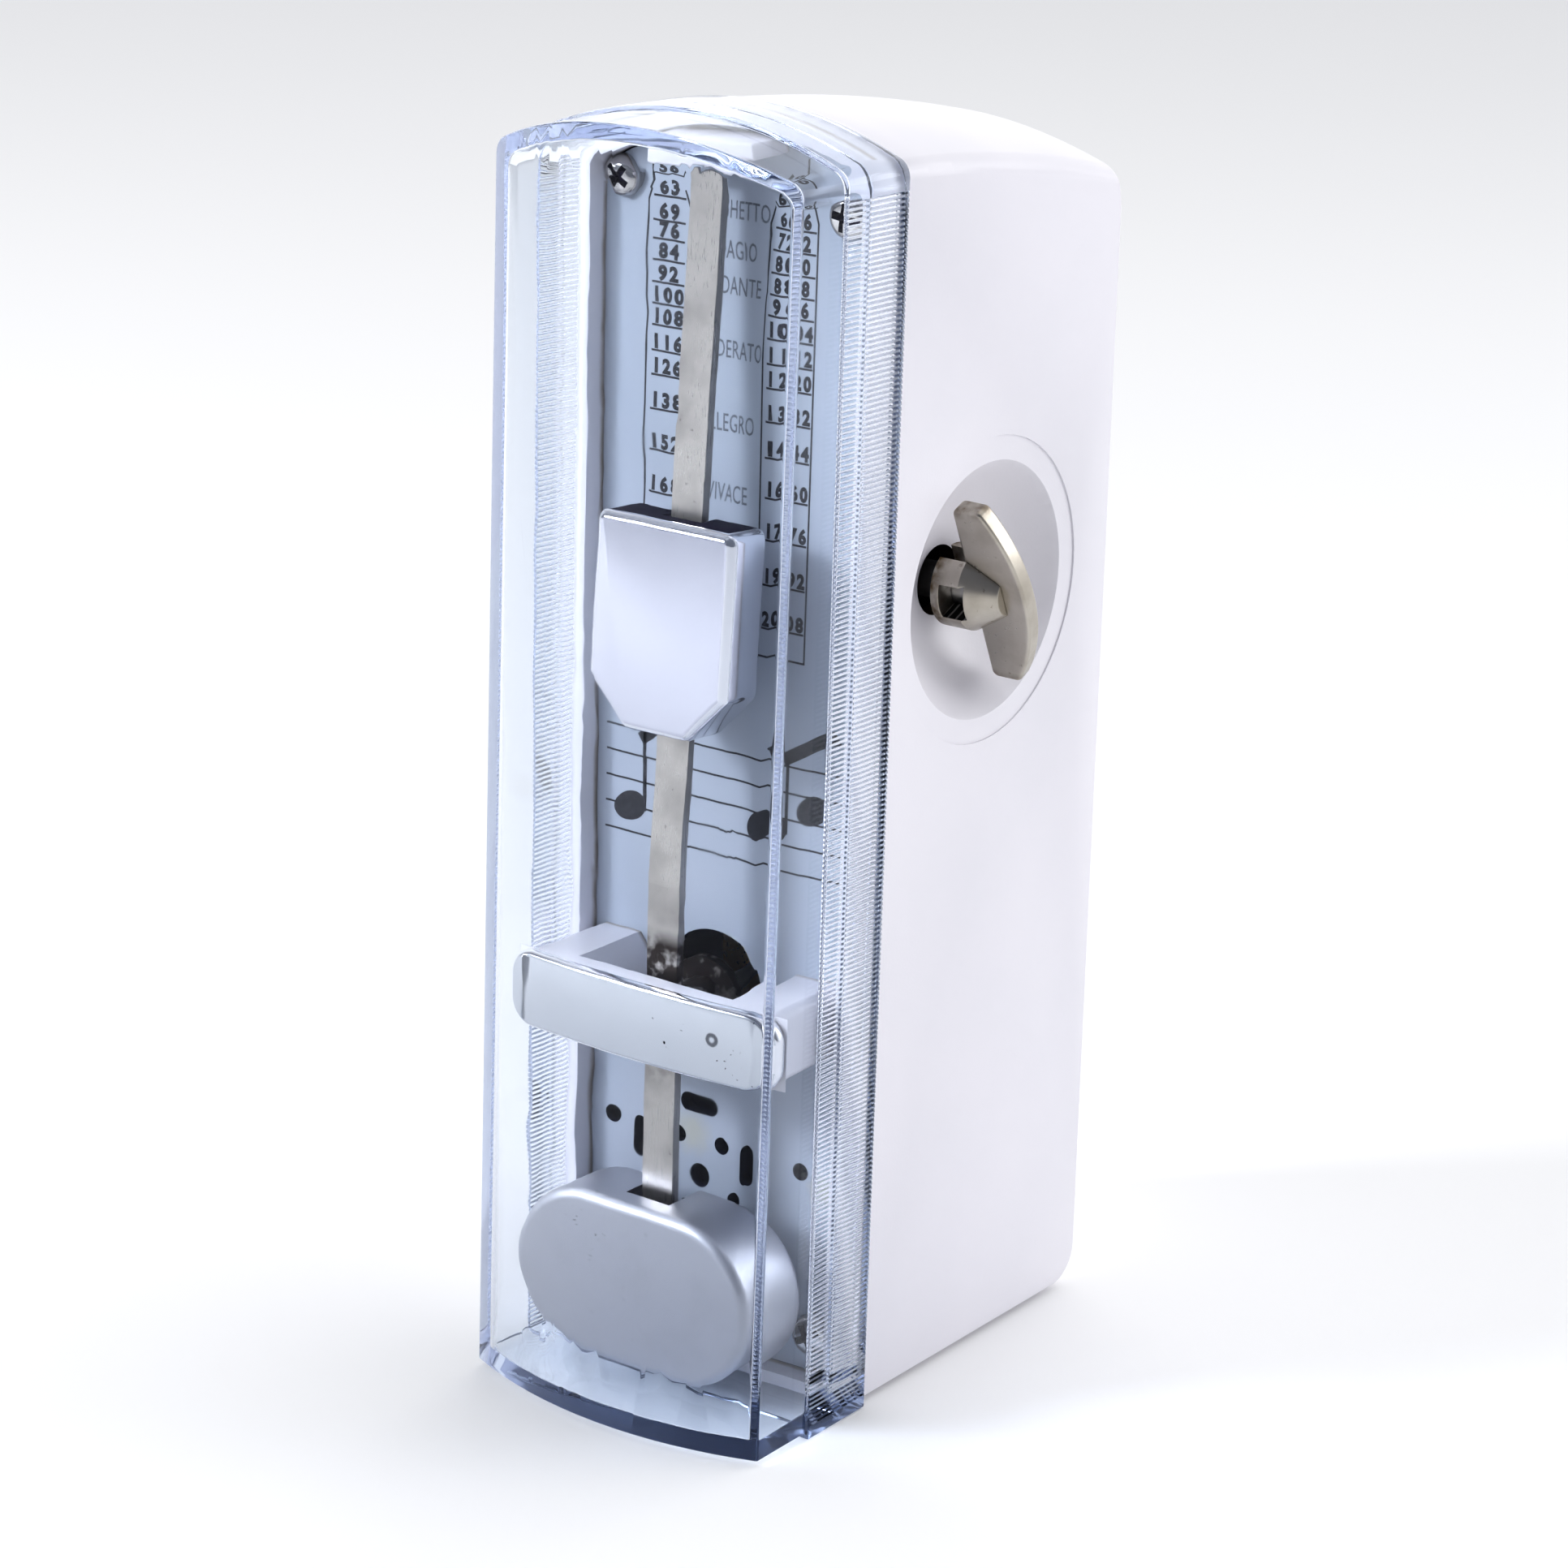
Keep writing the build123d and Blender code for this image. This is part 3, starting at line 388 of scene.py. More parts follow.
def scuffs(finish):
    """Short dark scuffs on the face of the low weight."""
    spots = finish.ramp(finish.noise(1400, 2, (1, 1, 2.5)), 0.66, 0.72)
    left = finish.ramp(finish.away_from(-4.0 * mm, -21 * mm, 15.2 * mm), 3.4 * mm, 0.8 * mm)
    return spots * left


rod_nickel = worked_metal(
    "rod_nickel",
    rgb(0.52, 0.49, 0.46),
    rgb(0.045, 0.035, 0.03),
    0.3,
    brushing=(6, 6, 0.12),
    stained=0.4,
    extra_marks=oxide_by_bridge,
)
weight_satin = worked_metal(
    "weight_satin",
    rgb(0.52, 0.53, 0.58),
    rgb(0.30, 0.30, 0.32),
    0.48,
    stained=0.12,
    ridges=0.0006,
    uneven=0.03,
    extra_marks=scuffs,
)
slider_satin = worked_metal(
    "slider_satin",
    rgb(0.70, 0.70, 0.78),
    rgb(0.5, 0.5, 0.55),
    0.24,
    stained=0.04,
    ridges=0.0001,
    uneven=0.015,
)
trim_satin = worked_metal(
    "trim_satin",
    rgb(0.68, 0.70, 0.74),
    rgb(0.02, 0.02, 0.03),
    0.3,
    stained=0.03,
    ridges=0.0002,
    uneven=0.02,
    extra_marks=tool_marks,
)
polished = worked_metal(
    "polished_edge",
    rgb(0.84, 0.84, 0.88),
    rgb(0.45, 0.44, 0.42),
    0.1,
    stained=0.06,
    ridges=0.0001,
    uneven=0.02,
)
chrome = worked_metal(
    "screw_chrome_worn",
    rgb(0.60, 0.58, 0.57),
    rgb(0.20, 0.17, 0.15),
    0.14,
    stained=0.3,
    ridges=0.0003,
    uneven=0.03,
)
key_nickel = worked_metal(
    "key_nickel_worn", rgb(0.50, 0.47, 0.42), rgb(0.12, 0.08, 0.04), 0.32, stained=0.35, extra_marks=brown_tips
)
plate_zinc = worked_metal("plate_zinc", rgb(0.55, 0.56, 0.58), rgb(0.35, 0.33, 0.30), 0.35, stained=0.2)
spring_blue = worked_metal("spring_blue", rgb(0.12, 0.14, 0.22), rgb(0.10, 0.08, 0.08), 0.3, stained=0.3)
wheel_brass = worked_metal("wheel_brass", rgb(0.72, 0.53, 0.25), rgb(0.36, 0.24, 0.10), 0.3, stained=0.3)
print("metals ready")

# %% A screw thread seen through a window, in painted shade
def dark_thread():
    finish = Finish("dark_thread")
    settings = {"wave_type": "BANDS", "bands_direction": "X"}
    sockets = {"Vector": finish.place, "Scale": 420.0, "Distortion": 1.0}
    turns = finish.add("ShaderNodeTexWave", settings, sockets)
    # Mostly black painted shade, crossed by thin lines in the grey of the thread's metal.
    finish.set(
        Base_Color=finish.blend(finish.ramp(turns, 0.75, 1.0), rgb(0.005, 0.005, 0.005), rgb(0.35, 0.34, 0.33)),
        Metallic=0.6,
        Roughness=finish.ramp(turns, 0, 1, 0.6, 0.3),
    )
    return finish.material


hub_thread_shade = dark_thread()

# %% Rubber and printing ink
def soft_rubber():
    finish = Finish("foot_rubber_dark")
    dust = finish.noise(900, 4)
    finish.set(
        Base_Color=finish.blend(dust, rgb(0.03, 0.03, 0.035), rgb(0.09, 0.09, 0.09)),
        Roughness=finish.ramp(dust, 0.3, 0.7, 0.7, 0.85),
    )
    finish.height(dust, 0.02 * mm)
    return finish.material


def printing_ink(name, colour, worn):
    finish = Finish(name)
    thin_spots = finish.ramp(finish.noise(3500, 3), 0.45, 0.75)
    finish.set(Base_Color=finish.blend(thin_spots, colour, worn))
    finish.set(Roughness=finish.ramp(thin_spots, 0, 1, 0.4, 0.6))
    return finish.material


foot_rubber = soft_rubber()
black_ink = printing_ink("black_ink", rgb(0.012, 0.012, 0.018), rgb(0.05, 0.05, 0.06))
grey_ink = printing_ink("grey_ink", rgb(0.13, 0.14, 0.17), rgb(0.20, 0.22, 0.26))
print("rubber and inks ready")

# %% [markdown]
# ## Giving the loaded pieces their finish
#
# Most of the clockwork is hidden, and its shapes are right as they come. Each of those pieces just
# gets the finish of its material slot.

# %% Finishes for the loaded pieces
slot_finish = {
    "case_plastic": case_white,
    "dial_plastic": dial_shaded_white,
    "clear_plastic": cover_clear,
    "foot_rubber": foot_rubber,
    "screw_chrome": chrome,
    "trim_metal": trim_satin,
    "rod_steel": rod_nickel,
    "weight_metal": weight_satin,
    "slider_metal": slider_satin,
    "plate_steel": plate_zinc,
    "spring_steel": spring_blue,
    "brass": wheel_brass,
    "key_nickel": key_nickel,
}
for name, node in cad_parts.items():
    for place in node.material_slots:
        slot_name = place.material.name.split(".")[0]
        if slot_name in slot_finish:
            place.material = slot_finish[slot_name]
        else:
            print("no finish for", name, slot_name)
print(len(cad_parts), "loaded pieces finished")

# %% [markdown]
# ## Soft edges
#
# No moulded or stamped edge is perfectly sharp, and the thin line of light along an edge is most of
# what makes a part look solid. The loaded pieces are loose triangles with sharp edges, so a visible
# piece is copied, its triangles are joined back into whole faces, and a Bevel modifier rounds
# every edge that turns by more than a given angle. The copy then stands for the loaded piece.


# %% Copy, join and bevel
def clean_copy(node_name, new_name):
    """A copy of a loaded piece with its loose triangles joined into whole faces."""
    piece = bpy.data.objects.new(new_name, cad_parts[node_name].data.copy())
    bpy.context.scene.collection.objects.link(piece)
    only(piece)
    bpy.ops.mesh.customdata_custom_splitnormals_clear()
    with editing(piece):
        bpy.ops.mesh.select_all(action="SELECT")
        bpy.ops.mesh.remove_doubles(threshold=0.002 * mm)
        bpy.ops.mesh.dissolve_limited(angle_limit=math.radians(0.6))
    return piece


def soften(piece, width, segments=3, angle=40):
    """Rounds every edge that turns by more than this angle, then smooths the shading."""
    apply_modifier(
        piece,
        "BEVEL",
        width=width,
        segments=segments,
        limit_method="ANGLE",
        angle_limit=math.radians(angle),
    )
    only(piece)
    bpy.ops.object.shade_smooth_by_angle(angle=math.radians(30))
    return piece


def hand_over(piece, body, slot, *nodes):
    """The finished piece rides on its body and stands for these nodes; its slot is not used."""
    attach(piece, body)
    if nodes:
        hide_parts(*nodes)
    print(piece.name, "on", body, "with", face_count(piece), "faces")
    return piece


def coat(piece, *finishes):
    """Gives a piece these finishes, one for each of its material places."""
    piece.data.materials.clear()
    for finish in finishes:
        piece.data.materials.append(finish)


def finish_faces(piece, place, test):
    """Gives one of the piece's finishes to the faces for which test(centre, normal) is true."""
    for face in piece.data.polygons:
        if test(face.center, face.normal):
            face.material_index = place


# %% [markdown]
# ## The clear cover and its ribs
#
# The cover plugs over the front of the case. Its collar has a coin edge: fine ribs that run from
# front to back, so that fingers can grip it. The ribs could be faked with a bump pattern, but here
# they show in the outline and bend the light that comes through, so they are cut for real. One
# three-sided bar is laid along the collar, repeated by an Array modifier up each side and
# by Spin around the arched top, and the joined bars are cut from the cover in one Boolean.

# %% One grooving bar
cover_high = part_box("clear_cover")[1]
rib_pitch = 0.42 * mm
rib_depth = 0.2 * mm
bar_radius = 0.2 * mm
collar_depth = 7.85 * mm
collar_middle = cover_high.y - collar_depth / 2
collar_arch = 35.6 * mm
arch_centre = cover_high.z - collar_arch
arch_turn = math.radians(22.0)


def groove_bar(name, x, z, towards_x, towards_z):
    """A three-sided bar along Y, with one edge pointing into the collar."""
    turn = math.atan2(towards_x, towards_z)
    out = bar_radius - rib_depth
    bpy.ops.object.select_all(action="DESELECT")
    bpy.ops.mesh.primitive_cylinder_add(
        vertices=3,
        radius=bar_radius,
        depth=collar_depth + 0.6 * mm,
        location=(x - towards_x * out, collar_middle, z - towards_z * out),
        rotation=(math.radians(90), turn, 0),
    )
    bar = bpy.context.object
    bar.name = name
    return settle(bar)


# %% Repeat it up the sides and round the top
side_low = 1.4 * mm
side_high = 101.2 * mm
side_count = int((side_high - side_low) / rib_pitch)
bars = []
for side, name in ((-1, "left_grooves"), (1, "right_grooves")):
    bar = groove_bar(name, side * cover_high.x, side_low, -side, 0)
    apply_modifier(
        bar,
        "ARRAY",
        count=side_count,
        use_relative_offset=False,
        use_constant_offset=True,
        constant_offset_displace=(0, 0, rib_pitch),
    )
    bars.append(bar)

start_x = -collar_arch * math.sin(arch_turn)
start_z = arch_centre + collar_arch * math.cos(arch_turn)
top_bar = groove_bar("top_grooves", start_x, start_z, math.sin(arch_turn), -math.cos(arch_turn))
top_count = int(2 * arch_turn * collar_arch / rib_pitch)
with editing(top_bar):
    bpy.ops.mesh.select_all(action="SELECT")
    bpy.ops.mesh.spin(
        steps=top_count,
        dupli=True,
        angle=2 * arch_turn,
        center=(0, collar_middle, arch_centre),
        axis=(0, 1, 0),
    )
bars.append(top_bar)
print("grooves:", side_count, "up each side and", top_count, "round the top")

# %% Round the edges of the cover, then cut the grooves
cover = clean_copy("clear_cover", "clear_cover_ribbed")
soften(cover, 0.35 * mm, segments=3, angle=50)
only(*bars)
bpy.ops.object.join()
grooves = bpy.context.object
apply_modifier(cover, "BOOLEAN", operation="DIFFERENCE", object=grooves, solver="EXACT")
bpy.data.objects.remove(grooves)
only(cover)
bpy.ops.object.shade_smooth_by_angle(angle=math.radians(25))
coat(cover, cover_clear)
hand_over(cover, "cover", "clear_plastic", "clear_cover")

# %% [markdown]
# ## The printed dial
#
# A metronome's scale has the beats per minute in two columns, with a line under each number, and
# the Italian tempo words between them. The rod stands in front of it, and the top of the sliding
# weight is read against the lines. Printing is a real layer of ink, so it is made as very thin
# raised letters: a text object is made a mesh, turned upright and joined with the rest.

# %% Ink letters and lines
dial_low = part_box("dial_plate")[0]
ink = 0.015 * mm
ink_plane = dial_low.y - ink / 2


def ink_text(words, x, z, height, spread=1.0, narrow=1.0, weight=0.0):
    """Words printed on the dial, centred at x with their feet at z."""
    bpy.ops.object.select_all(action="DESELECT")
    bpy.ops.object.text_add(location=(0, 0, 0))
    text = bpy.context.object
    text.data.body = words
    text.data.align_x = "CENTER"
    text.data.size = height / 0.73
    text.data.space_character = spread
    text.data.offset = weight
    text.data.extrude = ink / 2
    text.data.resolution_u = 3
    bpy.ops.object.convert(target="MESH")
    text = bpy.context.object
    text.scale = (narrow, 1, 1)
    text.rotation_euler = (math.radians(90), 0, 0)
    text.location = (x, ink_plane, z)
    return settle(text)


def ink_line(x_start, z_start, x_end, z_end, thick):
    """A straight printed line between two points of the dial."""
    run = Vector((x_end - x_start, 0, z_end - z_start))
    bpy.ops.object.select_all(action="DESELECT")
    bpy.ops.mesh.primitive_cube_add(size=1, location=(0, 0, 0))
    line = bpy.context.object
    line.scale = (run.length + thick, ink, thick)
    line.rotation_euler = (0, -math.atan2(run.z, run.x), 0)
    line.location = ((x_start + x_end) / 2, ink_plane, (z_start + z_end) / 2)
    return settle(line)


def print_layer(name, parts, finish):
    """Joins printed parts into one layer of ink that rides on the case."""
    only(*parts)
    bpy.ops.object.join()
    layer = bpy.context.object
    layer.name = name
    coat(layer, finish)
    return hand_over(layer, "case", "dial_plastic")


# %% Numbers with their lines, and the frame round each column
left_rows = {
    56: 99.9, 63: 97.75, 69: 95.85, 76: 94.4, 84: 92.75, 92: 91.0, 100: 89.3, 108: 87.6,
    116: 85.55, 126: 83.6, 138: 80.9, 152: 77.55, 168: 74.15, 184: 70.6, 200: 66.9,
}
right_rows = {
    60: 98.8, 66: 96.7, 72: 95.0, 80: 93.25, 88: 91.55, 96: 89.9, 104: 88.1, 112: 86.15,
    120: 84.25, 132: 81.6, 144: 78.75, 160: 75.55, 176: 72.2, 192: 68.6, 208: 65.1,
}
# Each column's middle, outer line and inner line. The right-hand one stands nearer the pendulum.
columns = {-1: (-6.15, -8.2, -4.1), 1: (5.5, 7.2, 3.5)}
number_high = 1.15 * mm
line_thick = 0.17 * mm
scale_parts = []
for side, rows in ((-1, left_rows), (1, right_rows)):
    for number, height in rows.items():
        x = columns[side][0] * mm
        z = height * mm
        scale_parts.append(
            ink_text(str(number), x, z + 0.22 * mm, number_high, 1.35, weight=0.085 * mm)
        )
        scale_parts.append(ink_line(x - 1.45 * mm, z, x + 1.45 * mm, z, line_thick))
    outer = columns[side][1] * mm
    inner = columns[side][2] * mm
    shoulder = side * 0.55 * mm
    scale_parts.append(ink_line(outer, 62.8 * mm, outer, 97.4 * mm, line_thick))
    scale_parts.append(ink_line(outer, 97.4 * mm, outer - shoulder, 99 * mm, line_thick))
    scale_parts.append(ink_line(outer - shoulder, 99 * mm, outer - shoulder, 101.2 * mm, line_thick))
    scale_parts.append(ink_line(inner, 62.8 * mm, inner, 97.0 * mm, line_thick))
    scale_parts.append(ink_line(inner, 97.0 * mm, inner + shoulder, 98.4 * mm, line_thick))
    scale_parts.append(ink_line(inner, 62.8 * mm, outer, 62.8 * mm, line_thick))
print_layer("dial_numbers", scale_parts, black_ink)

# %% Tempo words in grey
tempo_words = {
    "LARGHETTO": 96.9, "ADAGIO": 93.8, "ANDANTE": 91.0, "MODERATO": 86.0,
    "ALLEGRO": 80.2, "VIVACE": 74.6, "PRESTO": 69.5,
}
word_parts = [
    ink_text(word, 0, height * mm, 1.5 * mm, 1.05, narrow=0.56) for word, height in tempo_words.items()
]
print_layer("dial_words", word_parts, grey_ink)

# %% [markdown]
# ### An ornament under the scale
#
# Dials usually carry a bold mark below the scale. A plain staff with four notes fills that place:
# five thin lines, tilted oval heads made from flattened cylinders, stems, and one beam.

# %% Staff and notes
staff_low = 45.4 * mm
staff_gap = 2.2 * mm


def note_head(x, z):
    bpy.ops.object.select_all(action="DESELECT")
    bpy.ops.mesh.primitive_cylinder_add(vertices=32, radius=1.35 * mm, depth=ink, location=(0, 0, 0))
    head = bpy.context.object
    head.rotation_euler = (math.radians(90), math.radians(-24), 0)
    head.scale = (1.25, 0.88, 1)
    head.location = (x, ink_plane - ink, z)
    return settle(head)


ornament_parts = [
    ink_line(-11.4 * mm, staff_low + line * staff_gap, 11.4 * mm, staff_low + line * staff_gap, 0.16 * mm)
    for line in range(5)
]
notes = [(-9.0, 1.0), (-4.6, 2.5), (4.4, 1.5), (8.6, 2.5)]
for across, step in notes:
    x = across * mm
    z = staff_low + step * staff_gap
    stem_x = x + 1.45 * mm
    ornament_parts.append(note_head(x, z))
    ornament_parts.append(ink_line(stem_x, z, stem_x, z + 6.4 * mm, 0.34 * mm))
for first, second in ((0, 1), (2, 3)):
    ends = []
    for across, step in (notes[first], notes[second]):
        ends.append((across * mm + 1.45 * mm, staff_low + step * staff_gap + 6.2 * mm))
    ornament_parts.append(ink_line(*ends[0], *ends[1], 1.1 * mm))
print_layer("dial_ornament", ornament_parts, black_ink)

# %% [markdown]
# ## Weights, trim and rod
#
# The two weights and the trim on the bridge are die castings with a satin face and a polished rim.
# Each is copied and its edges are rounded. On the sliding weight and the trim the faces that look forward
# get the satin finish while the rim and sides get the polished one; the low weight is satin all over.


# %% Satin face, polished rim
def faced_piece(node, name, body, slot, width, rim_finish, face_finish, facing=0.93, segments=3, angle=40):
    """A soft-edged copy of a loaded piece, with one finish on its front and one on the rest."""
    piece = clean_copy(node, name)
    soften(piece, width, segments, angle)
    coat(piece, rim_finish, face_finish)
    finish_faces(piece, 1, lambda centre, normal: -normal.y > facing)
    return hand_over(piece, body, slot, node)


def carve(piece, middle, size, shade_finish):
    """Cuts a box-shaped recess and gives its walls a finish of their own, here painted shade."""
    bpy.ops.object.select_all(action="DESELECT")
    bpy.ops.mesh.primitive_cube_add(size=1, location=middle)
    cutter = bpy.context.object
    cutter.scale = size
    settle(cutter)
    apply_modifier(piece, "BOOLEAN", operation="DIFFERENCE", object=cutter, solver="EXACT")
    bpy.data.objects.remove(cutter)
    piece.data.materials.append(shade_finish)
    edge = 0.02 * mm

    def in_recess(centre, normal):
        below = centre.z < middle[2] - edge
        return below and all(abs(c - m) < s / 2 + edge for c, m, s in zip(centre, middle, size))

    finish_faces(piece, len(piece.data.materials) - 1, in_recess)
    return piece


# %% The sliding weight, with the slot that the rod enters by
slider_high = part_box("sliding_weight")[1]
slider = faced_piece(
    "sliding_weight", "sliding_weight_cast", "tempo_weight", "slider_metal", 0.2 * mm, polished, slider_satin
)
# The walls of the slot get painted shade.
carve(slider, (0, -15.9 * mm, slider_high.z), (3.8 * mm, 1.3 * mm, 1.6 * mm), painted_shade_dark)

# %% The low weight, with its slot
weight_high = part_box("low_weight")[1]
low_weight = faced_piece(
    "low_weight", "low_weight_cast", "pendulum", "weight_metal", 0.3 * mm, weight_satin, weight_satin
)
# The walls of the slot get painted shade.
carve(low_weight, (0, -18.0 * mm, weight_high.z), (4.3 * mm, 2.0 * mm, 2.4 * mm), painted_shade_dark)

# %% The trim with a polished rim, and a small ring where the tool marked it
trim = faced_piece("bridge_trim", "bridge_trim_cast", "case", "trim_metal", 0.5 * mm, polished, trim_satin)
bpy.ops.object.select_all(action="DESELECT")
bpy.ops.mesh.primitive_torus_add(
    major_radius=0.5 * mm,
    minor_radius=0.13 * mm,
    major_segments=32,
    minor_segments=8,
    location=(7.9 * mm, -20.98 * mm, 34.3 * mm),
    rotation=(math.radians(90), 0, 0),
)
ring = settle(bpy.context.object)
apply_modifier(trim, "BOOLEAN", operation="DIFFERENCE", object=ring, solver="EXACT")
bpy.data.objects.remove(ring)
# The back faces of the trim get painted shade, for the dark gap between the trim and the bridge.
trim.data.materials.append(painted_shade_dark)
finish_faces(trim, 2, lambda centre, normal: normal.y > 0.6)

# %% The rod, drawn with a flat face and two narrow bevels
rod = faced_piece(
    "pendulum_rod", "pendulum_rod_drawn", "pendulum", "rod_steel", 0.36 * mm, rod_nickel, rod_nickel, segments=1
)
only(rod)
bpy.ops.object.shade_flat()

# %% Bridge, catch and key
faced_piece(
    "bearing_bridge", "bearing_bridge_moulded", "case", "case_plastic", 0.25 * mm, case_white, case_white
)
faced_piece("rod_catch", "rod_catch_moulded", "case", "case_plastic", 0.2 * mm, case_white, case_white)
faced_piece("key_wing", "key_wing_pressed", "key", "key_nickel", 0.28 * mm, key_nickel, key_nickel)
hub = faced_piece("key_hub", "key_hub_turned", "key", "key_nickel", 0.12 * mm, key_nickel, key_nickel)
hub_axis = Vector((0, 4.9 * mm, 66.7 * mm))
hub.data.materials.append(hub_thread_shade)


def inside_hub(centre, normal):
    from_axis = Vector((0, centre.y, centre.z)) - hub_axis
    return from_axis.length < 3.25 * mm and 11.5 * mm < centre.x < 14.0 * mm and abs(normal.x) < 0.5


# The faces inside the hub's window get the painted shade of the thread.
finish_faces(hub, 2, inside_hub)

# %% The case: white outside, with painted shade inside its cavity and its shaft hole
shell = clean_copy("case_shell", "case_shell_moulded")
soften(shell, 0.3 * mm, segments=3, angle=40)
coat(shell, case_white, painted_shade_dark, shaft_hole_shade)
dial_plane = -10.9 * mm
only(shell)


def near_rim(centre, normal):
    return abs(centre.x) < 12.9 * mm and centre.y < 12 * mm and centre.z < 104 * mm


pick_faces(shell, near_rim)
bpy.ops.object.mode_set(mode="EDIT")
bpy.ops.mesh.bisect(plane_co=(0, dial_plane, 0), plane_no=(0, 1, 0))
bpy.ops.object.mode_set(mode="OBJECT")
cavity_middle = Vector((0, 5 * mm, 52 * mm))


def in_cavity(centre, normal):
    across = abs(centre.x) < 12.6 * mm and dial_plane < centre.y < 21.4 * mm
    inside = across and 2.5 * mm < centre.z < 103.6 * mm
    dish = centre.x > 8.5 * mm and normal.x > 0.02
    return inside and not dish and normal.dot(cavity_middle - centre) > 0


def in_shaft_hole(centre, normal):
    from_axis = Vector((0, centre.y, centre.z)) - hub_axis
    return centre.x > 5 * mm and from_axis.length < 3.1 * mm and abs(normal.x) < 0.5


# The cavity and the shaft hole are white plastic lying in shade; their faces get painted shade.
finish_faces(shell, 1, in_cavity)
finish_faces(shell, 2, in_shaft_hole)
hand_over(shell, "case", "case_plastic", "case_shell")

# %% The dial plate: painted shade on every face that does not look forward, the walls of its holes, its edges and its back
plate = clean_copy("dial_plate", "dial_plate_pressed")
coat(plate, dial_shaded_white, painted_shade_dark)
finish_faces(plate, 1, lambda centre, normal: normal.y > -0.5)
hand_over(plate, "case", "dial_plastic", "dial_plate")

# %% [markdown]
# ### Pan-head screws
#
# Four cross-slot screws hold the dial. One is modelled: a short cylinder whose rim is beveled into
# a dome, with a cross cut by two crossed bars. It is then copied to each hole and turned a little
# differently each time, because no one lines screws up by hand.

# %% One screw, copied four times
head_radius = 1.75 * mm
head_high = 1.1 * mm
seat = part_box("dial_plate")[0].y
screw_places = [(-10.4, 6.2, 20), (10.4, 6.2, 62), (-10.4, 99.7, 35), (10.4, 98.4, 8)]


def in_cross(centre, normal):
    """True for the walls and the floor of the cross recess of a screw head."""
    from_axis = Vector((centre.x, centre.y)).length
    return from_axis < 1.14 * mm and -0.3 * mm < centre.z < 0.45 * mm


def screw_head(name, x, z, turn):
    bpy.ops.object.select_all(action="DESELECT")
    bpy.ops.mesh.primitive_cylinder_add(vertices=40, radius=head_radius, depth=head_high)
    head = bpy.context.object
    head.name = name
    with editing(head, "EDGE"):
        bpy.ops.mesh.select_all(action="DESELECT")
    for edge in head.data.edges:
        ends = [head.data.vertices[v].co for v in edge.vertices]
        edge.select = all(end.z > 0 for end in ends)
    with editing(head, "EDGE"):
        bpy.ops.mesh.bevel(offset=0.85 * mm, segments=6, profile=0.5)
    coat(head, chrome)
    for bar_turn in (0, 90):
        bpy.ops.object.select_all(action="DESELECT")
        bpy.ops.mesh.primitive_cube_add(size=1, location=(0, 0, head_high / 2))
        bar = bpy.context.object
        bar.scale = (0.62 * mm, 2.3 * mm, 1.5 * mm)
        bar.rotation_euler = (0, 0, math.radians(bar_turn))
        settle(bar)
        apply_modifier(head, "BOOLEAN", operation="DIFFERENCE", object=bar, solver="EXACT")
        bpy.data.objects.remove(bar)
    # The cross recess gets painted shade.
    head.data.materials.append(painted_shade_dark)
    finish_faces(head, 1, in_cross)
    only(head)
    bpy.ops.object.shade_smooth_by_angle(angle=math.radians(30))
    head.rotation_euler = (math.radians(90), math.radians(turn), 0)
    head.location = (x, seat - head_high / 2, z)
    return settle(head)


heads = [screw_head("dial_screw", x * mm, z * mm, turn) for x, z, turn in screw_places]
only(*heads)
bpy.ops.object.join()
screws = bpy.context.object
screws.name = "dial_screws_panhead"
hand_over(screws, "case", "screw_chrome", "dial_screws")

# %% [markdown]
# ## The camera and the light
#
# The camera looks down a little from the right, through a long lens, as for a catalogue picture.
# Its direction is worked out from two angles, and a small roll about the line of sight.

# %% Camera
camera_round = math.radians(36.156)
camera_above = math.radians(17.926)
camera_roll = math.radians(1.713)
camera_place = Vector((0.189915, -0.26223, 0.153225))

backwards = Vector(
    (
        math.sin(camera_round) * math.cos(camera_above),
        -math.cos(camera_round) * math.cos(camera_above),
        math.sin(camera_above),
    )
)
level_right = Vector((0, 0, 1)).cross(backwards).normalized()
level_up = backwards.cross(level_right)
right = level_right * math.cos(camera_roll) + level_up * math.sin(camera_roll)
up = level_up * math.cos(camera_roll) - level_right * math.sin(camera_roll)

bpy.ops.object.select_all(action="DESELECT")
bpy.ops.object.camera_add()
camera = bpy.context.object
camera.name = "catalogue_camera"
camera.matrix_world = Matrix.Translation(camera_place) @ Matrix((right, up, backwards)).transposed().to_4x4()
camera.data.sensor_width = 36
camera.data.lens = 94.88
camera.data.clip_start = 0.01
bpy.context.scene.camera = camera
print("camera", [round(v, 3) for v in camera_place])

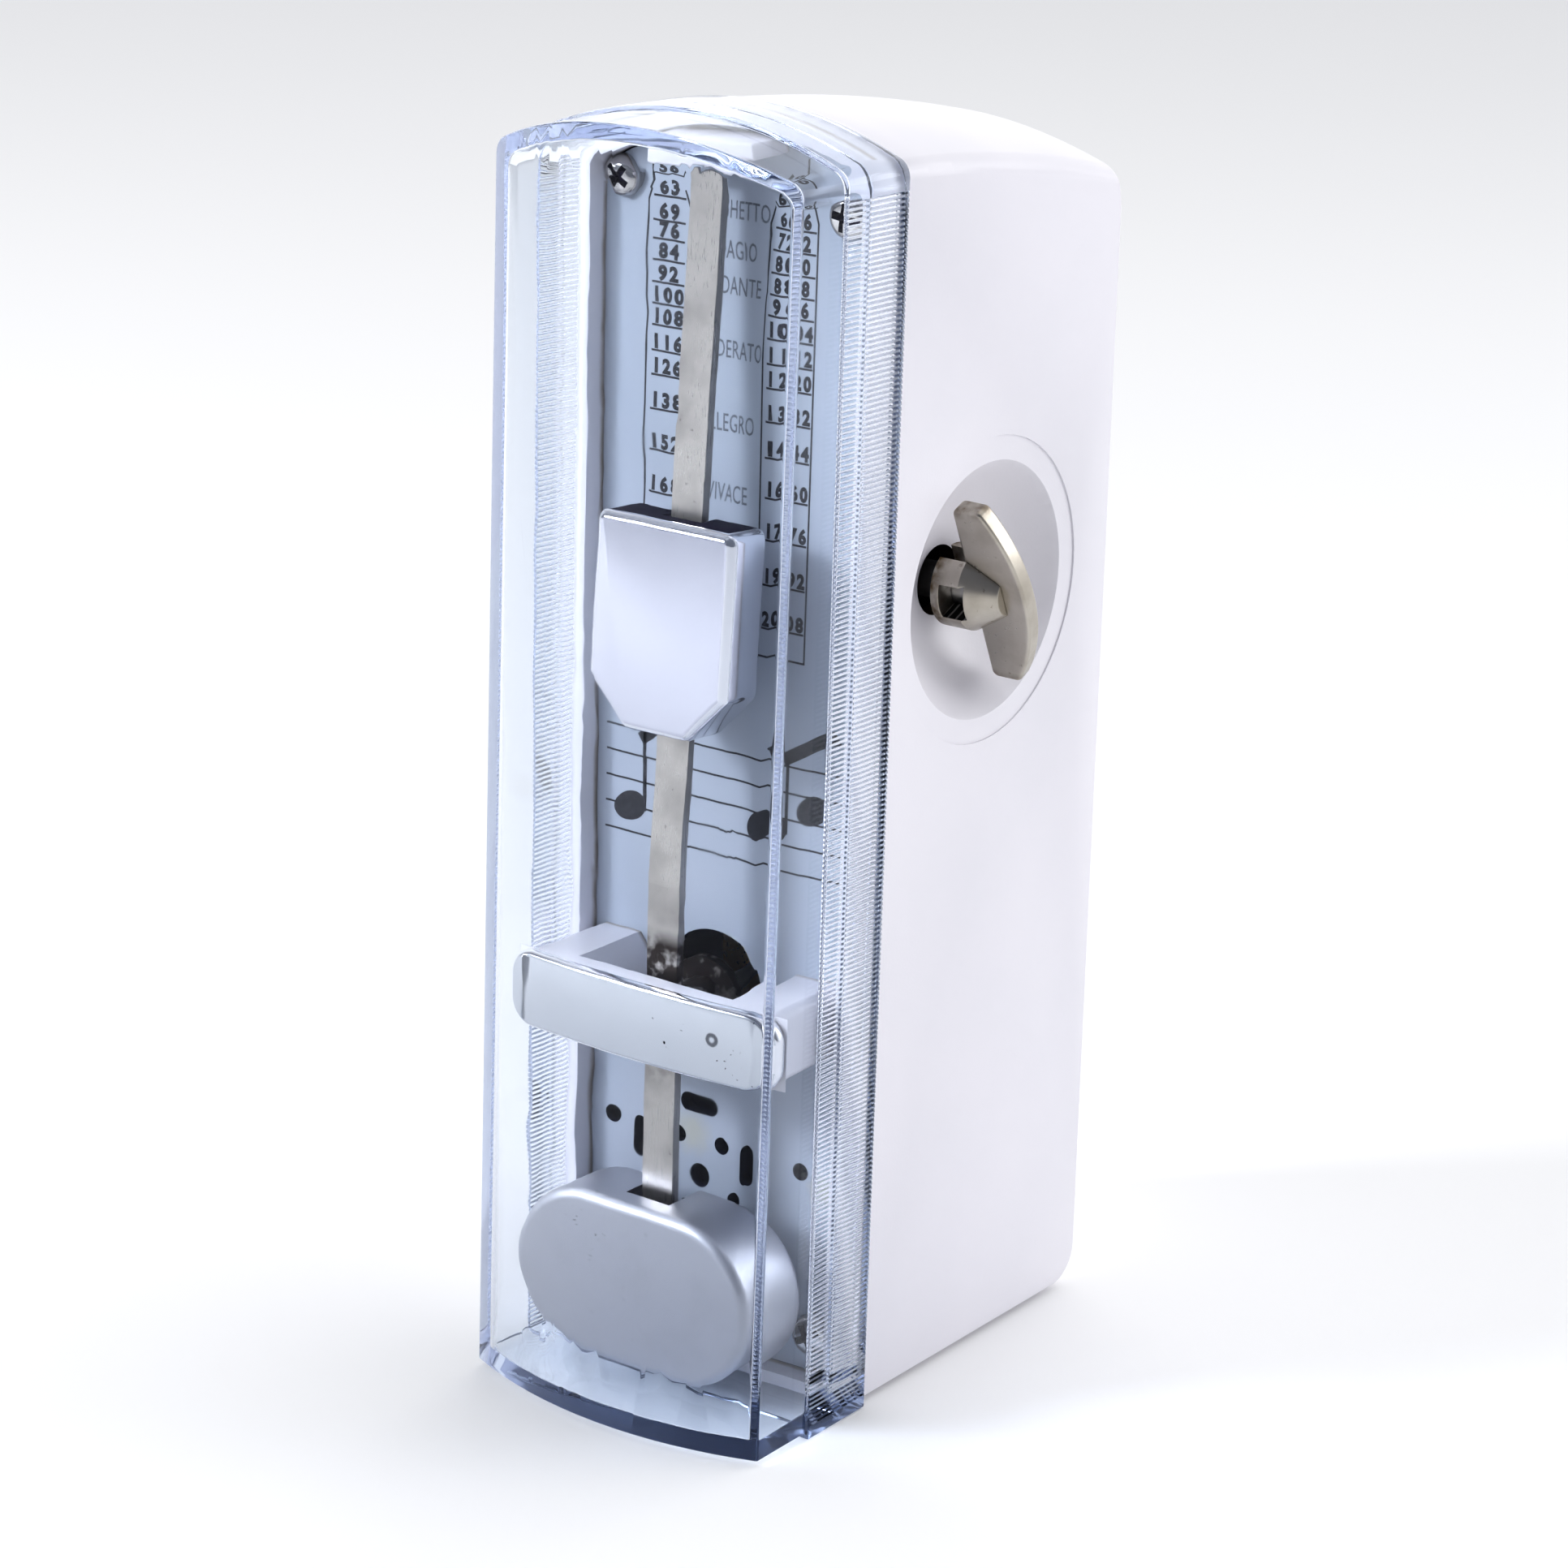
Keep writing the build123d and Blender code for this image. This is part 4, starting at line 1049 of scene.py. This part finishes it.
# %% Floor, sky and lamps
bpy.ops.mesh.primitive_plane_add(size=6, location=(0, 0, 0))
floor = bpy.context.object
floor.name = "studio_floor"
floor_finish = Finish("studio_floor_white")
floor_finish.set(
    Base_Color=floor_finish.blend(floor_finish.noise(3), rgb(0.93, 0.93, 0.935), rgb(0.95, 0.95, 0.955)),
    Roughness=0.9,
    Specular_IOR_Level=0.0,
)
floor.data.materials.append(floor_finish.material)

world = bpy.data.worlds.new("studio_sky")
world.use_nodes = True
sky = world.node_tree
direction = sky.nodes.new("ShaderNodeTexCoord")
split = sky.nodes.new("ShaderNodeSeparateXYZ")
fall = sky.nodes.new("ShaderNodeMapRange")
tint = sky.nodes.new("ShaderNodeMix")
tint.data_type = "RGBA"
sky.links.new(direction.outputs["Generated"], split.inputs[0])
sky.links.new(split.outputs["Y"], fall.inputs["Value"])
fall.inputs["From Min"].default_value = -0.3
fall.inputs["From Max"].default_value = 0.4
tint.inputs[6].default_value = rgb(0.16, 0.17, 0.20)
tint.inputs[7].default_value = rgb(1.15, 1.15, 1.15)
sky.links.new(fall.outputs[0], tint.inputs[0])
sky.links.new(tint.outputs[2], sky.nodes["Background"].inputs["Color"])
bpy.context.scene.world = world
bpy.context.scene.cycles.max_bounces = 24
bpy.context.scene.cycles.transmission_bounces = 24
bpy.context.scene.cycles.glossy_bounces = 12
bpy.context.scene.view_settings.view_transform = "Standard"
bpy.context.scene.view_settings.look = "Medium High Contrast"


def lamp(name, place, target, size, power):
    bpy.ops.object.light_add(type="AREA", location=place)
    light = bpy.context.object
    light.name = name
    light.data.shape = "RECTANGLE"
    light.data.size, light.data.size_y = size
    light.data.energy = power
    light.rotation_euler = (Vector(target) - Vector(place)).to_track_quat("-Z", "Y").to_euler()
    return light


lamp("key_lamp", (-0.45, -0.55, 0.42), (0, 0, 0.05), (0.16, 0.16), 3.0)
lamp("side_lamp", (0.50, 0.45, 0.30), (0, 0, 0.06), (0.3, 0.3), 1.0)
lamp("top_lamp", (0.0, 0.15, 0.8), (0, 0, 0.06), (0.5, 0.5), 0.5)
print("lamps lit")
